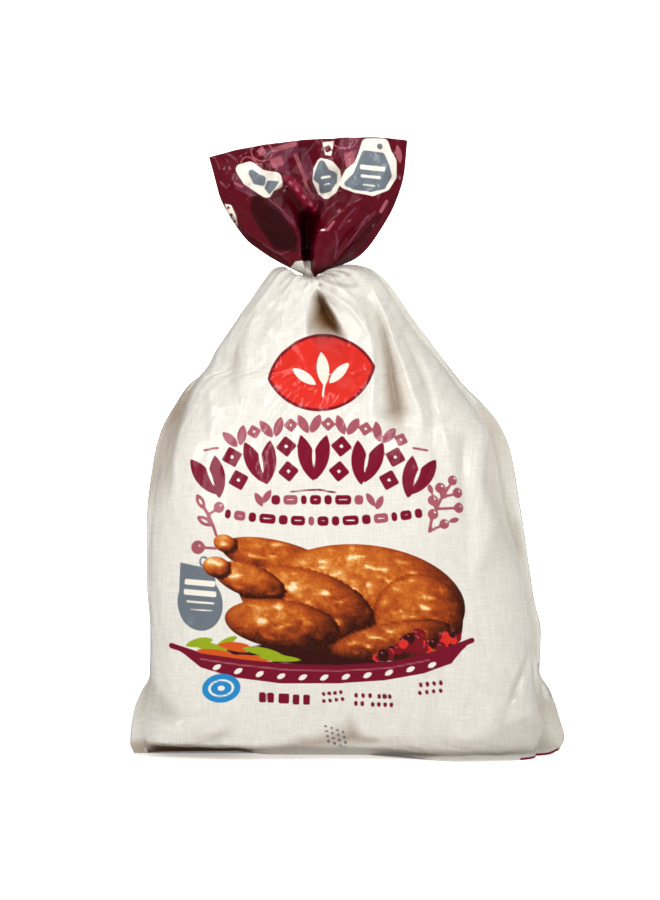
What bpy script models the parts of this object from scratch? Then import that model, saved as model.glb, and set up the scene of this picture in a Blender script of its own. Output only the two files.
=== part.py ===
"""A whole turkey in its shut film bag, standing upright.

The bag is one piece of film: a tube sealed flat along its foot, filled by the bird, gathered at a
narrow neck and flaring above it into a pleated collar whose mouth stands open. It is made as one
solid, a loft of closed rings that climbs from the middle of the foot, over the shoulders, through
the neck, up the outside of the collar, over its rim and down its inside.

+X is to the right of the printed front, -Y is the side that the front faces, +Z is up.
"""

import math
from dataclasses import dataclass

import bmesh
import bpy
import numpy as np

MM = 0.001

# How the rings are divided. Column 0 is the left side edge and column FRONT_COLUMNS the right one.
# All columns together are a multiple of four, so that a meridian of the sphere that is shaped lies
# on +X and each of its points finds its own column.
FRONT_COLUMNS = 48
BACK_COLUMNS = 32
FOOT_ROWS = 4
LOWEST_RINGS = (0, 2, 4, 8, 14, 22)
SIDE_ROWS = 40
SHOULDER_ROWS = 10
NECK_ROWS = 2
COLLAR_ROWS = 13
INSIDE_ROWS = 6
SECTION_SAMPLES = 400

# Outline of the bag, in millimetres: (height, x of the edge). The loose film beside the bird is flat.
LEFT_EDGE = ((0, -170), (8, -173), (34, -170), (50, -164), (62, -158), (94, -157), (138, -160),
             (186, -160), (234, -155), (258, -149), (282, -136), (306, -114), (322, -105), (350, -87))
RIGHT_EDGE = ((0, 168), (8, 173), (30, 168), (50, 161), (66, 152), (98, 153), (122, 148), (162, 142),
              (202, 136), (242, 129), (266, 117), (298, 88), (330, 64), (350, 49))
# The bird's own bulk inside: (height, x of its left side), (height, x of its right side)
LEFT_BULK = ((0, -152), (20, -156), (60, -155), (110, -153), (155, -150), (203, -143), (243, -138),
             (275, -128), (311, -112), (350, -85))
RIGHT_BULK = ((0, 148), (20, 152), (60, 148), (110, 144), (160, 134), (200, 126), (250, 117), (298, 86),
              (330, 62), (350, 47))
# (height, depth of the bulk in front of the side edges), and behind them
FRONT_DEPTH = ((0, 60), (2, 60), (8, 66), (22, 72), (60, 78), (120, 82), (180, 81), (240, 74),
               (290, 62), (330, 48), (350, 40))
BACK_DEPTH = ((0, 54), (8, 58), (22, 63), (60, 68), (120, 71), (180, 70), (240, 63), (290, 52),
              (330, 41), (350, 35))
# (height, how nearly square the bulk is, from an ellipse at 2)
SQUARENESS = ((0, 3.6), (60, 2.8), (160, 2.3), (350, 2.2))
EDGE_THICKNESS = 5.0
# How late the loose film thins towards the edge itself
EDGE_POWER = 12
SIDE_TOP = 350.0
# The sealed foot seam lies flat on the floor in front: (x, how far it sticks out)
SEAM_REACH = ((-174, 0), (30, 0), (60, 9), (110, 16), (150, 20), (166, 8), (174, 0))
SEAM_HEIGHT = 3.0
# The right corner of the seam turns up: how far, from where to where, and up to what height
CORNER_LIFT = 5.0
CORNER_START, CORNER_END = 156.0, 174.0
CORNER_HEIGHT = 30.0

# The neck, and how the film climbs to it from SIDE_TOP: (share of the way in, rise), at the sides of
# the bag, where it arches over higher than the neck, and at the front and back, where it doesn't.
NECK_X = -29.0
NECK_RADIUS = 7.5
NECK_FOOT = 376.0
NECK_TOP = 384.0
RISE_AT_SIDES = ((0, 0), (0.15, 13), (0.35, 29), (0.53, 38), (0.66, 40), (0.80, 36), (0.90, 30), (1, 26))
RISE_IN_FRONT = ((0, 0), (0.2, 12), (0.4, 21), (0.6, 27), (0.8, 29), (0.92, 28), (1, 26))
# Half width and half depth of the ring at SIDE_TOP, how much wider than deep the rings above it are,
# and the share of the way in from which they are drawn to the round neck
TOP_HALF_WIDTH = 62.0
TOP_HALF_DEPTH = 40.0
TOP_ASPECT = 1.4
DRAW_IN_START = 0.55

# The collar: (height, x of its left edge) and (height, x of its right edge)
COLLAR_LEFT = ((384, -36.5), (387, -44), (394, -60), (402, -71), (418, -90), (442, -102), (466, -109),
               (492, -111))
COLLAR_RIGHT = ((384, -21.5), (389, -14), (396, 3), (402, 13), (418, 25), (442, 38), (466, 45), (492, 48))
MOUTH_TOP = 492.0
MOUTH_TOP_X = 4.0
MOUTH_ARC_RADIUS = 385.0
# Its pleats stand out in full from PLEATS_FULL up, and its rings lie closer together near the neck
PLEATS_FULL = 420.0
COLLAR_POWER = 3
RING_CROWDING = 1.25
# (height, how far the collar's walls lie in front of and behind its middle)
COLLAR_GAP = ((384, 7.5), (396, 13), (415, 21), (440, 25), (466, 23), (492, 19))
FILM_THICKNESS = 1.4
INSIDE_FLOOR = 404.0
INSIDE_INSET = 6.0
# Folds fade out over this distance from the side edges, and from this far from the neck
EDGE_FADE = 12.0
NECK_FADE = 9.0
# How flat a fold's crest is; 2 would be a bell curve
FOLD_SHARPNESS = 1.6


@dataclass(frozen=True)
class Fold:
    """A ridge of the film, or a valley where its height is negative, along a path of (x, z).

    left and right say how far it reaches on each side of the path, and start and end over what share
    of the path it fades in and out.
    """

    path: tuple
    height: float
    left: float
    right: float
    start: float = 0.3
    end: float = 0.3

    def at(self, x, z):
        """How far it stands out at (x, z), in millimetres."""
        across, passed = along(self.path, x, z)
        reach = np.where(across < 0, self.left, self.right)
        fade = smooth_step(0, self.start, passed) * smooth_step(0, self.end, 1 - passed)
        return self.height * fade * np.exp(-np.abs(across / reach) ** FOLD_SHARPNESS)


FRONT_FOLDS = (
    Fold(((-25, 380), (-21, 363), (-12, 342), (2, 312)), -24, 14, 11, 0.12, 0.5),
    Fold(((-14, 378), (2, 360), (14, 340), (28, 306)), 8, 10, 12, 0.15, 0.5),
    Fold(((24, 362), (31, 335), (37, 300), (42, 250)), -10, 14, 13),
    Fold(((42, 352), (51, 320), (57, 280), (60, 235)), 5, 11, 11),
    Fold(((-84, 330), (-100, 300), (-107, 262), (-103, 215)), 5, 10, 11),
    Fold(((-72, 345), (-82, 305), (-84, 270), (-80, 240)), -6, 11, 11),
    Fold(((-92, 336), (-60, 331), (-28, 320)), 4, 10, 10),
    Fold(((151, 98), (144, 58), (124, 20)), -9, 11, 11),
    Fold(((-160, 34), (-145, 32), (-112, 27)), -5, 9, 10),
)
BACK_FOLDS = (
    Fold(((-29, 378), (-34, 345), (-46, 300)), -16, 12, 13, 0.15, 0.5),
    Fold(((-22, 376), (0, 345), (22, 290)), -10, 11, 11, 0.2, 0.5),
    Fold(((-60, 350), (-84, 300), (-94, 240)), -7, 12, 12),
    Fold(((-8, 360), (32, 310), (60, 240)), 6, 12, 12),
    Fold(((-150, 98), (-140, 58), (-122, 22)), -8, 12, 12),
    Fold(((148, 98), (138, 58), (118, 22)), -7, 12, 12),
)
COLLAR_FOLDS = (
    Fold(((-30, 386), (-31, 420), (-24, 450), (-12, 520)), 18, 10, 9, 0.1),
    Fold(((-24, 386), (-6, 425), (10, 450), (30, 520)), -15, 16, 17, 0.12),
    Fold(((-40, 392), (-50, 420), (-72, 455), (-100, 500)), -9, 11, 13),
    Fold(((-50, 396), (-76, 424), (-104, 448)), 9, 12, 11),
    Fold(((-34, 392), (-41, 430), (-46, 520)), -9, 9, 10),
    Fold(((-5, 396), (16, 425), (42, 462)), 8, 10, 10),
    Fold(((-66, 440), (-68, 460), (-72, 520)), 8, 10, 10),
)


def curve(points, at):
    """A smooth curve through (position, value) points that doesn't overshoot between them."""
    x, y = (np.array(column, float) for column in zip(*points))
    slope = np.diff(y) / np.diff(x)
    tangent = np.empty(len(x))
    tangent[0] = slope[0]
    tangent[-1] = slope[-1]
    turning = slope[:-1] * slope[1:] <= 0
    with np.errstate(divide="ignore", invalid="ignore"):
        tangent[1:-1] = np.where(turning, 0.0, 2 * slope[:-1] * slope[1:] / (slope[:-1] + slope[1:]))
    at = np.clip(np.asarray(at, float), x[0], x[-1])
    k = np.clip(np.searchsorted(x, at, side="right") - 1, 0, len(x) - 2)
    step = x[k + 1] - x[k]
    t = (at - x[k]) / step
    return ((1 + 2 * t) * (1 - t) ** 2 * y[k] + t * (1 - t) ** 2 * step * tangent[k]
            + t * t * (3 - 2 * t) * y[k + 1] + t * t * (t - 1) * step * tangent[k + 1])


def smooth_step(low, high, value):
    """0 below low, 1 above high, and a smooth slope between them."""
    t = np.clip((value - low) / (high - low), 0, 1)
    return t * t * (3 - 2 * t)


def along(path, x, z):
    """Signed distance to the right of a path of points, and the share of it that is passed."""
    best = np.full(np.shape(x), np.inf)
    side = np.zeros(np.shape(x))
    passed = np.zeros(np.shape(x))
    lengths = [math.dist(a, b) for a, b in zip(path, path[1:])]
    done = 0.0
    for (x0, z0), (x1, z1), length in zip(path, path[1:], lengths):
        ax, az = (x1 - x0) / length, (z1 - z0) / length
        run = np.clip((x - x0) * ax + (z - z0) * az, 0, length)
        off_x, off_z = x - x0 - run * ax, z - z0 - run * az
        distance = np.hypot(off_x, off_z)
        nearer = distance < best
        best = np.where(nearer, distance, best)
        side = np.where(nearer, np.sign(off_z * ax - off_x * az), side)
        passed = np.where(nearer, (done + run) / sum(lengths), passed)
        done += length
    return -side * best, passed


def folded(folds, x, z):
    """How far all of some folds together stand out at (x, z), in millimetres."""
    return sum(fold.at(x, z) for fold in folds)


def resampled(x, y, count):
    """count + 1 points evenly spaced by length along the open line of points x, y."""
    length = np.concatenate([[0], np.cumsum(np.hypot(np.diff(x), np.diff(y)))])
    at = np.linspace(0, length[-1], count + 1)
    return np.interp(at, length, x), np.interp(at, length, y)


def ring_of(left, right, front_y, back_y):
    """The x and y of a closed ring from its edges and the two walls, as functions of x."""
    spread = (1 - np.cos(np.linspace(0, math.pi, SECTION_SAMPLES))) / 2
    x = left + (right - left) * spread
    front = resampled(x, front_y(x), FRONT_COLUMNS)
    back = resampled(x[::-1], back_y(x[::-1]), BACK_COLUMNS)
    return [np.concatenate([f[:-1], b[:-1]]) for f, b in zip(front, back)]


def bulk(x, left, right, depth, squareness):
    """Depth of the bird's bulk at x, a rounded box between left and right."""
    share = np.clip(np.abs((2 * x - left - right) / (right - left)), 0, 1)
    return depth * (1 - share**squareness) ** (1 / squareness)


def body_ring(height):
    """The ring of the body at a height, as x and y in millimetres."""
    left, right = curve(LEFT_EDGE, height), curve(RIGHT_EDGE, height)
    sides = curve(LEFT_BULK, height), curve(RIGHT_BULK, height)
    squareness = curve(SQUARENESS, height)
    seam = 1 - smooth_step(SEAM_HEIGHT / 2, SEAM_HEIGHT, height)

    def wall(x, depth):
        across = np.abs((2 * x - left - right) / (right - left))
        edge = EDGE_THICKNESS / 2 * (1 - across**EDGE_POWER)
        return np.sqrt(bulk(x, *sides, depth, squareness) ** 2 + edge**2)

    return ring_of(
        left, right,
        lambda x: -wall(x, curve(FRONT_DEPTH, height)) - seam * curve(SEAM_REACH, x),
        lambda x: wall(x, curve(BACK_DEPTH, height)),
    )


def mouth_height(x):
    """Height of the collar's rim at x, an arc about a point far below it."""
    return MOUTH_TOP - MOUTH_ARC_RADIUS + np.sqrt(MOUTH_ARC_RADIUS**2 - (x - MOUTH_TOP_X) ** 2)


def collar_middle(x, z):
    """Where the collar's film lies, front to back, at (x, z): its pleats and lobes."""
    return folded(COLLAR_FOLDS, x, z) * smooth_step(NECK_TOP, PLEATS_FULL, z)


def collar_ring(height, inside=False):
    """The ring of the collar at a nominal height, as x, y and z, on its outside or its inside."""
    left, right = curve(COLLAR_LEFT, height), curve(COLLAR_RIGHT, height)
    gap = curve(COLLAR_GAP, height)
    if inside:
        left, right, gap = left + INSIDE_INSET, right - INSIDE_INSET, gap - FILM_THICKNESS

    def lift(x):
        return (height - NECK_TOP) / (MOUTH_TOP - NECK_TOP) * (mouth_height(x) - MOUTH_TOP)

    def wall(x, sign):
        share = np.clip(np.abs((2 * x - left - right) / (right - left)), 0, 1)
        return collar_middle(x, height + lift(x)) + sign * gap * np.sqrt(1 - share**COLLAR_POWER)

    x, y = ring_of(left, right, lambda x: wall(x, -1), lambda x: wall(x, 1))
    return x, y, height + lift(x)


def foot_rings():
    """The underside, flat on the floor, from its middle out to the body's lowest ring."""
    x, y = body_ring(0)
    for share in np.linspace(0, 1, FOOT_ROWS + 1)[1:-1]:
        yield x * share, y * share, np.zeros(len(x))


def side_rings():
    """The body from the floor to where the shoulders begin."""
    upper = np.linspace(LOWEST_RINGS[-1], SIDE_TOP, SIDE_ROWS - len(LOWEST_RINGS) + 1)[1:]
    for height in (*LOWEST_RINGS, *upper):
        x, y = body_ring(height)
        low = 1 - smooth_step(0, CORNER_HEIGHT, height)
        lift = CORNER_LIFT * smooth_step(CORNER_START, CORNER_END, x) * low
        yield x, y, np.full(len(x), float(height)) + lift


def shoulder_rings():
    """The film from the top of the sides in to the neck."""
    x, y = body_ring(SIDE_TOP)
    angle = np.arctan2(y, (x - NECK_X) / TOP_ASPECT)
    for share in np.linspace(0, 1, SHOULDER_ROWS + 1)[1:]:
        pull = smooth_step(DRAW_IN_START, 1, share)
        ring_x = NECK_X + (x - NECK_X) * (1 - share * (1 - NECK_RADIUS / TOP_HALF_WIDTH))
        ring_y = y * (1 - share * (1 - NECK_RADIUS / TOP_HALF_DEPTH))
        ring_x += pull * (NECK_X + NECK_RADIUS * np.cos(angle) - ring_x)
        ring_y += pull * (NECK_RADIUS * np.sin(angle) - ring_y)
        side = np.cos(angle) ** 2
        rise = side * curve(RISE_AT_SIDES, share) + (1 - side) * curve(RISE_IN_FRONT, share)
        yield ring_x, ring_y, SIDE_TOP + rise


def neck_rings():
    """The gathered neck, between the shoulders and the collar."""
    x, y = body_ring(SIDE_TOP)
    angle = np.arctan2(y, (x - NECK_X) / TOP_ASPECT)
    for height in np.linspace(NECK_FOOT, NECK_TOP, NECK_ROWS + 1)[1:]:
        yield (NECK_X + NECK_RADIUS * np.cos(angle), NECK_RADIUS * np.sin(angle),
               np.full(len(x), float(height)))


def collar_rings():
    """The outside of the collar up to its rim, then its inside down to the gathered film."""
    for share in np.linspace(0, 1, COLLAR_ROWS + 1)[1:]:
        yield collar_ring(NECK_TOP + (MOUTH_TOP - NECK_TOP) * share**RING_CROWDING)
    for height in np.linspace(MOUTH_TOP, INSIDE_FLOOR, INSIDE_ROWS):
        yield collar_ring(height, inside=True)


def bag_surface():
    """Rows of ring points, foot to collar, as an array of (row, column, xyz) in millimetres.

    The origin is in the middle of the bag, front to back, on what it stands on.
    """
    body = [*foot_rings(), *side_rings(), *shoulder_rings()]
    rows = np.array([np.stack(ring, axis=1) for ring in body])
    x, z = rows[..., 0], rows[..., 2]
    front = np.arange(rows.shape[1]) < FRONT_COLUMNS
    from_edge = np.minimum(x - curve(LEFT_EDGE, z), curve(RIGHT_EDGE, z) - x)
    from_neck = np.hypot(x - NECK_X, rows[..., 1]) - NECK_FADE
    share = smooth_step(0, EDGE_FADE, np.where(z > SIDE_TOP, from_neck, from_edge))
    outward = np.where(front, -folded(FRONT_FOLDS, x, z), folded(BACK_FOLDS, x, z))
    rows[..., 1] += outward * share * (z > 0)
    upper = [*neck_rings(), *collar_rings()]
    rows = np.concatenate([rows, [np.stack(ring, axis=1) for ring in upper]])
    rows[..., 1] -= (rows[..., 1].min() + rows[..., 1].max()) / 2
    return rows


def film_material():
    """Cream printed polythene."""
    material = bpy.data.materials.new("printed_film")
    material.use_nodes = True
    shader = material.node_tree.nodes["Principled BSDF"]
    shader.inputs["Base Color"].default_value = (0.82, 0.78, 0.70, 1)
    shader.inputs["Roughness"].default_value = 0.35
    shader.inputs["Metallic"].default_value = 0.0
    return material


def make_bag(collection):
    """The film bag with what fills it, one closed solid shaped from a sphere's rings."""
    rows = bag_surface()
    row_count, columns = rows.shape[:2]
    shape = bmesh.new()
    bmesh.ops.create_uvsphere(shape, u_segments=columns, v_segments=row_count + 1, radius=1)
    poles = {0: rows[0].mean(axis=0), row_count + 1: rows[-1].mean(axis=0)}
    for vertex in shape.verts:
        x, y, z = vertex.co
        row = round((math.asin(max(-1, min(1, z))) / math.pi + 0.5) * (row_count + 1))
        column = round(math.atan2(y, x) / math.tau * columns) % columns
        place = poles[row] if row in poles else rows[row - 1, column]
        vertex.co = [value * MM for value in place]
    bmesh.ops.recalc_face_normals(shape, faces=shape.faces)
    mesh = bpy.data.meshes.new("bag")
    shape.to_mesh(mesh)
    shape.free()
    mesh.shade_smooth()
    mesh.materials.append(film_material())
    collection.objects.link(bpy.data.objects.new("bag", mesh))


def main():
    """Clears the scene and makes the pack."""
    for old in list(bpy.data.objects):
        bpy.data.objects.remove(old)
    collection = bpy.data.collections.new("bagged_turkey")
    bpy.context.scene.collection.children.link(collection)
    make_bag(collection)


main()
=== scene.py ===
"""Looks of a whole turkey in its shut film bag, standing upright.

The bag is one tube of printed polythene film: the bird fills its body, the film is gathered to a
narrow neck, and above that it flares into a pleated collar. Two pieces of film are made here, body
and collar, each a closed skin shaped from a sphere's rings. Large form comes from curves of height,
creases from a net of flat facets between measured crease lines, and small wrinkles from noise.
The print is drawn in film millimetres as signed distances, one field for each ink.

+X is to the right of the printed front, -Y is the side that the front faces, +Z is up.
"""

import logging
import math
from collections.abc import Callable, Iterable, Sequence
from dataclasses import dataclass, field
from enum import Enum

import bmesh
import bpy
import numpy as np
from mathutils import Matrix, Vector
from mathutils.geometry import delaunay_2d_cdt


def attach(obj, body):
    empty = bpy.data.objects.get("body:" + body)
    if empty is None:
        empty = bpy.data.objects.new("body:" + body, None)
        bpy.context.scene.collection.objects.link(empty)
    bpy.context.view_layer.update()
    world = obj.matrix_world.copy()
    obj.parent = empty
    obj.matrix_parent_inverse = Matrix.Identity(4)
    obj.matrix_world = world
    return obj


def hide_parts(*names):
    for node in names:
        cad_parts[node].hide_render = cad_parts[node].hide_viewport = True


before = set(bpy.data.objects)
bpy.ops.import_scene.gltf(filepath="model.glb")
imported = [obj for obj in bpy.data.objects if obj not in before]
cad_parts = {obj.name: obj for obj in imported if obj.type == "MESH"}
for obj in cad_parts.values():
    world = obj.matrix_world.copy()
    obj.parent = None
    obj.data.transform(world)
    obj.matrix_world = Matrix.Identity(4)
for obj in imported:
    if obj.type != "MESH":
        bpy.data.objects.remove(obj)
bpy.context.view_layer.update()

LOG = logging.getLogger("bagged_turkey")
MM = 0.001
BODY = "root"
CAD_NODE = "bag"
FILM_SLOT = "printed_film"

Array = np.ndarray
Points = Sequence[tuple[float, ...]]
Place = tuple[float, float]

# Where the photograph was taken from, in millimetres
CAMERA_X = -13.0
CAMERA_Y = -2500.0
CAMERA_Z = 243.0
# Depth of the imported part's middle behind the side seams
DEPTH_SHIFT = 5.5

# Outline of the bag: (height, x of the edge), and of the bird's bulk inside it
LEFT_EDGE = ((0, -170), (8, -173), (34, -170), (50, -164), (62, -158), (94, -157), (138, -160),
             (186, -160), (234, -155), (258, -149), (282, -136), (296, -126), (304, -115.5), (311, -110),
             (322, -104.5), (350, -86))
RIGHT_EDGE = ((0, 171), (8, 175), (30, 170.5), (50, 163.5), (66, 155), (98, 156), (122, 151), (162, 145),
              (202, 139), (242, 132), (266, 121.5), (298, 92), (330, 67.5), (350, 52.5))
LEFT_BULK = ((0, -158), (20, -160), (60, -157), (110, -157), (155, -158), (203, -154), (243, -147),
             (275, -133), (311, -112), (350, -86))
RIGHT_BULK = ((0, 150), (20, 156), (60, 150), (110, 147), (160, 137), (200, 126), (250, 117), (298, 86),
              (330, 62), (350, 47))
FRONT_DEPTH = ((0, 60), (2, 60), (8, 66), (22, 72), (60, 78), (120, 82), (180, 81), (240, 74),
               (290, 62), (330, 48), (350, 40))
BACK_DEPTH = ((0, 54), (8, 58), (22, 63), (60, 68), (120, 71), (180, 70), (240, 63), (290, 52),
              (330, 41), (350, 35))
SQUARENESS = ((0, 3.0), (60, 2.6), (160, 2.3), (350, 2.2))
FIN_THICKNESS = 1.6
SIDE_TOP = 350.0
SEAM_REACH = ((-174, 0), (30, 0), (60, 9), (110, 16), (150, 20), (166, 8), (174, 0))
SEAM_HEIGHT = 3.0
CORNER_LIFT = 4.5
CORNER_START, CORNER_END = 159.0, 178.0
# How far the front's lower edge is turned under: (x, share of the wall's depth)
TURNED_UNDER = ((-174, 1.2), (-90, 1.2), (-60, 0.8), (10, 0.75), (40, 0.6), (85, 0.0), (174, 0.0))
TURN_HEIGHT = 13.5
# The hem along the front's lower edge: where it fades, how far it stands back, its two ends, and the shade
# painted along it
HEM_FADE = (11.6, 13.2)
HEM_STEP = 4.0
HEM_ENDS = ((-165.0, -150.0), (-90.0, -70.0))
HEM_SHADE = ((-180, 0.35), (-160, 0.5), (-148, 1.0), (-100, 0.95), (-60, 0.3), (60, 0.2), (90, 0.15),
             (180, 0.05))
HEM_SHADE_FOOT = 6.0
# The burgundy edge of the right corner
EDGE_PRINT_LEFT, EDGE_PRINT_HEIGHT = 136.0, 1.6
# Below this height all creases and wrinkles fade, so that the foot lies flat
FLOOR_FADE = 8.0
PRINT_MIDDLE_X = -40.0

# The body's top that is drawn in to the neck: half width, half depth, their ratio, where the pull starts
TOP_HALF_WIDTH, TOP_HALF_DEPTH, TOP_ASPECT, PULL_START = 62.0, 40.0, 1.4, 0.55
NECK_X = -29.0
NECK_RADIUS = 7.5
NECK_FOOT = 376.0
NECK_TOP = 384.0
SHOULDER_SHIFT = 4.5
RISE_AT_SIDES = ((0, 0), (0.15, 13), (0.35, 29), (0.53, 38), (0.66, 40), (0.80, 36), (0.90, 30), (1, 26))
RISE_AT_LEFT = ((0, 0), (0.15, 12), (0.35, 28), (0.50, 36.5), (0.60, 37.6), (0.68, 32.5), (0.80, 26),
                (0.90, 24),
                (1, 25))
RISE_IN_FRONT = ((0, 0), (0.2, 12), (0.4, 21), (0.6, 27), (0.8, 29), (0.92, 28), (1, 26))

# The collar's foot inside the neck: its height, its radius there and how much wider it is at the top
ROOT_FOOT, ROOT_RADIUS, ROOT_FLARE = 372.0, 2.8, 3.9
COLLAR_LEFT = ((384, -35), (388, -43), (396.5, -58), (404, -68.5), (413, -79), (425, -87.6), (440, -95.6),
               (455, -101.5), (464, -103.6), (480, -107), (493, -110))
COLLAR_RIGHT = ((384, -21.5), (388, -13), (395, 5), (402, 14.5), (418, 26.5), (442, 39.5), (466, 46.5),
                (493, 49))
MOUTH_TOP = 493.0
MOUTH_TOP_X = 8.0
MOUTH_ARC_RADIUS = 460.0
# How steeply the collar's rows crowd towards its root
ROW_CROWDING = 1.12
# Least gap between the collar's walls, and the height from which the folds fan out
RIM_GAP = 1.2
FAN_HEIGHT = 370.0
# (height, how far the collar's front and its back lie from its middle before they are creased)
COLLAR_FRONT = ((384, 7.0), (396, 7), (415, 5), (440, 4), (466, 3), (492, 2))
COLLAR_BACK = ((384, 7.5), (396, 12), (415, 18), (440, 22), (466, 20), (492, 14))
FILM_THICKNESS = 0.5


class Ink(Enum):
    """The inks of the print, and the painted sheen, in the order in which the material lays them on the cream
    film.
    """

    ROAST = "roast"
    CREAM = "cream"
    WINE = "wine"
    BURGUNDY = "burgundy"
    # not an ink of the print: sheen painted on the collar, as pale patches and pale lines along its creases
    PAINTED_SHEEN = "painted_sheen"
    ROSE = "rose"
    BERRY = "berry"
    RED = "red"
    GREY = "grey"
    BLUE = "blue"
    GREEN = "green"
    ORANGE = "orange"
    DARK = "dark"


INK_COLOURS = {
    Ink.CREAM: "#EFEADF",
    Ink.BURGUNDY: "#8A0C36",
    Ink.WINE: "#6C001F",
    Ink.ROSE: "#AE6470",
    # painted sheen of the collar
    Ink.PAINTED_SHEEN: "#7C3A4E",
    Ink.RED: "#E03A2C",
    Ink.GREY: "#7C848C",
    Ink.BLUE: "#2E97CE",
    Ink.GREEN: "#A3B41E",
    Ink.ORANGE: "#D9641E",
    Ink.BERRY: "#8C1528",
    Ink.DARK: "#4A1512",
    Ink.ROAST: "#B5601F",
}
ROAST_RAMP = ((0.0, "#3A1206"), (0.22, "#7A3410"), (0.45, "#B4551A"), (0.66, "#D07C2C"),
              (0.84, "#E6AE66"), (1.0, "#F7E2BC"))
INK_EDGE = 0.4
FAR = 50.0


@dataclass(frozen=True)
class FilmFinish:
    """What a film looks like, apart from its inks.

    Printed low-density polythene: blown film with a matt cream flexographic ground under a smooth
    skin, so the eye gets a soft wide sheen with small clear glints along the creases.
    """

    ground: str = "#EBE8E0"
    thread: str = "#E4E0D8"
    inside: str = "#C9A9AE"
    # the warm brown towards which painted shade darkens the film in its folds
    painted_shade: str = "#95714A"
    roughness: float = 0.32
    specular: float = 0.25
    coat: float = 0.5
    coat_roughness: float = 0.11
    ior: float = 1.51
    thread_pitch_mm: float = 1.05
    crinkle_mm: float = 5.0
    crinkle_bump: tuple[float, float] = (0.22, 0.0008)
    weave_bump: tuple[float, float] = (0.10, 0.0002)
    speckle_mm: float = 2.2
    speckle: float = 0.22


FILM = FilmFinish()


def linear(colour: str) -> tuple[float, float, float, float]:
    """Turns an sRGB hex colour into linear values.

    Args:
        colour: the colour as "#RRGGBB".

    Returns:
        Linear red, green, blue and full alpha.
    """
    values = [int(colour[k:k + 2], 16) / 255 for k in (1, 3, 5)]
    red, green, blue = (v / 12.92 if v <= 0.04045 else ((v + 0.055) / 1.055) ** 2.4 for v in values)
    return red, green, blue, 1.0


def curve(points: Points, at: Array | float) -> Array:
    """A smooth curve through points that doesn't overshoot between them.

    Args:
        points: (position, value) pairs in rising order of position.
        at: positions to read.

    Returns:
        The values there.
    """
    x, y = (np.array(column, float) for column in zip(*points))
    slope = np.diff(y) / np.diff(x)
    tangent = np.empty(len(x))
    tangent[0] = slope[0]
    tangent[-1] = slope[-1]
    turning = slope[:-1] * slope[1:] <= 0
    with np.errstate(divide="ignore", invalid="ignore"):
        tangent[1:-1] = np.where(turning, 0.0, 2 * slope[:-1] * slope[1:] / (slope[:-1] + slope[1:]))
    at = np.clip(np.asarray(at, float), x[0], x[-1])
    k = np.clip(np.searchsorted(x, at, side="right") - 1, 0, len(x) - 2)
    step = x[k + 1] - x[k]
    t = (at - x[k]) / step
    return ((1 + 2 * t) * (1 - t) ** 2 * y[k] + t * (1 - t) ** 2 * step * tangent[k]
            + t * t * (3 - 2 * t) * y[k + 1] + t * t * (t - 1) * step * tangent[k + 1])


def smooth_step(low: float, high: float, value: Array | float) -> Array:
    """0 below low, 1 above high and a smooth slope between them.

    Args:
        low: where the slope begins.
        high: where it ends.
        value: what is compared with them.

    Returns:
        Values from 0 to 1.
    """
    t = np.clip((value - low) / (high - low), 0, 1)
    return t * t * (3 - 2 * t)


def noise(x: Array, y: Array, seed: int) -> Array:
    """Gradient noise in the plane.

    Args:
        x: first coordinate, in cells.
        y: second coordinate, in cells.
        seed: picks the pattern.

    Returns:
        Smooth values from about -0.7 to 0.7.
    """
    rng = np.random.default_rng(seed)
    order = rng.permutation(256)
    angle = rng.uniform(0, math.tau, 256)
    cell_x, cell_y = np.floor(x).astype(int), np.floor(y).astype(int)
    dx, dy = x - cell_x, y - cell_y

    def corner(right: int, up: int) -> Array:
        """What one corner of the cell gives.

        Args:
            right: 1 for the cell's right corners.
            up: 1 for its upper ones.

        Returns:
            The slope there times the distance.
        """
        turn = angle[order[(order[(cell_x + right) & 255] + cell_y + up) & 255]]
        return np.cos(turn) * (dx - right) + np.sin(turn) * (dy - up)

    u = dx**3 * (dx * (dx * 6 - 15) + 10)
    v = dy**3 * (dy * (dy * 6 - 15) + 10)
    low = corner(0, 0) * (1 - u) + corner(1, 0) * u
    high = corner(0, 1) * (1 - u) + corner(1, 1) * u
    return low * (1 - v) + high * v


def ridges(x: Array, y: Array, seed: int) -> Array:
    """Noise with sharp crests, like creased film, from about -1 to 1.

    Args:
        x: first coordinate, in cells.
        y: second coordinate, in cells.
        seed: picks the pattern.

    Returns:
        The height of the crests above their middle.
    """
    return 1 - 3.4 * np.abs(noise(x, y, seed))


@dataclass(frozen=True)
class Wrinkle:
    """One scale of small ridged wrinkles.

    Attributes:
        height: how far they stand out, in mm.
        width: from one to the next.
        length: how long they are.
        seed: picks the pattern.
        slant: length over which they lean by one width, without end where they run straight.
    """

    height: float
    width: float
    length: float
    seed: int
    slant: float = math.inf

    def relief(self, across: Array, along: Array) -> Array:
        """How far the film stands out.

        Args:
            across: coordinate across the wrinkles.
            along: coordinate along them.

        Returns:
            The relief in mm.
        """
        return self.height * ridges(across / self.width + along / self.slant, along / self.length, self.seed)


@dataclass(frozen=True)
class Gather:
    """One size of the pleats that spread from the neck.

    Attributes:
        count: how many there are round the bag.
        height: how far they stand out, in mm.
        near: length over which they rise below the neck.
        far: length at which they are gone.
        seed: picks the pattern.
    """

    count: int
    height: float
    near: float
    far: float
    seed: int


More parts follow.
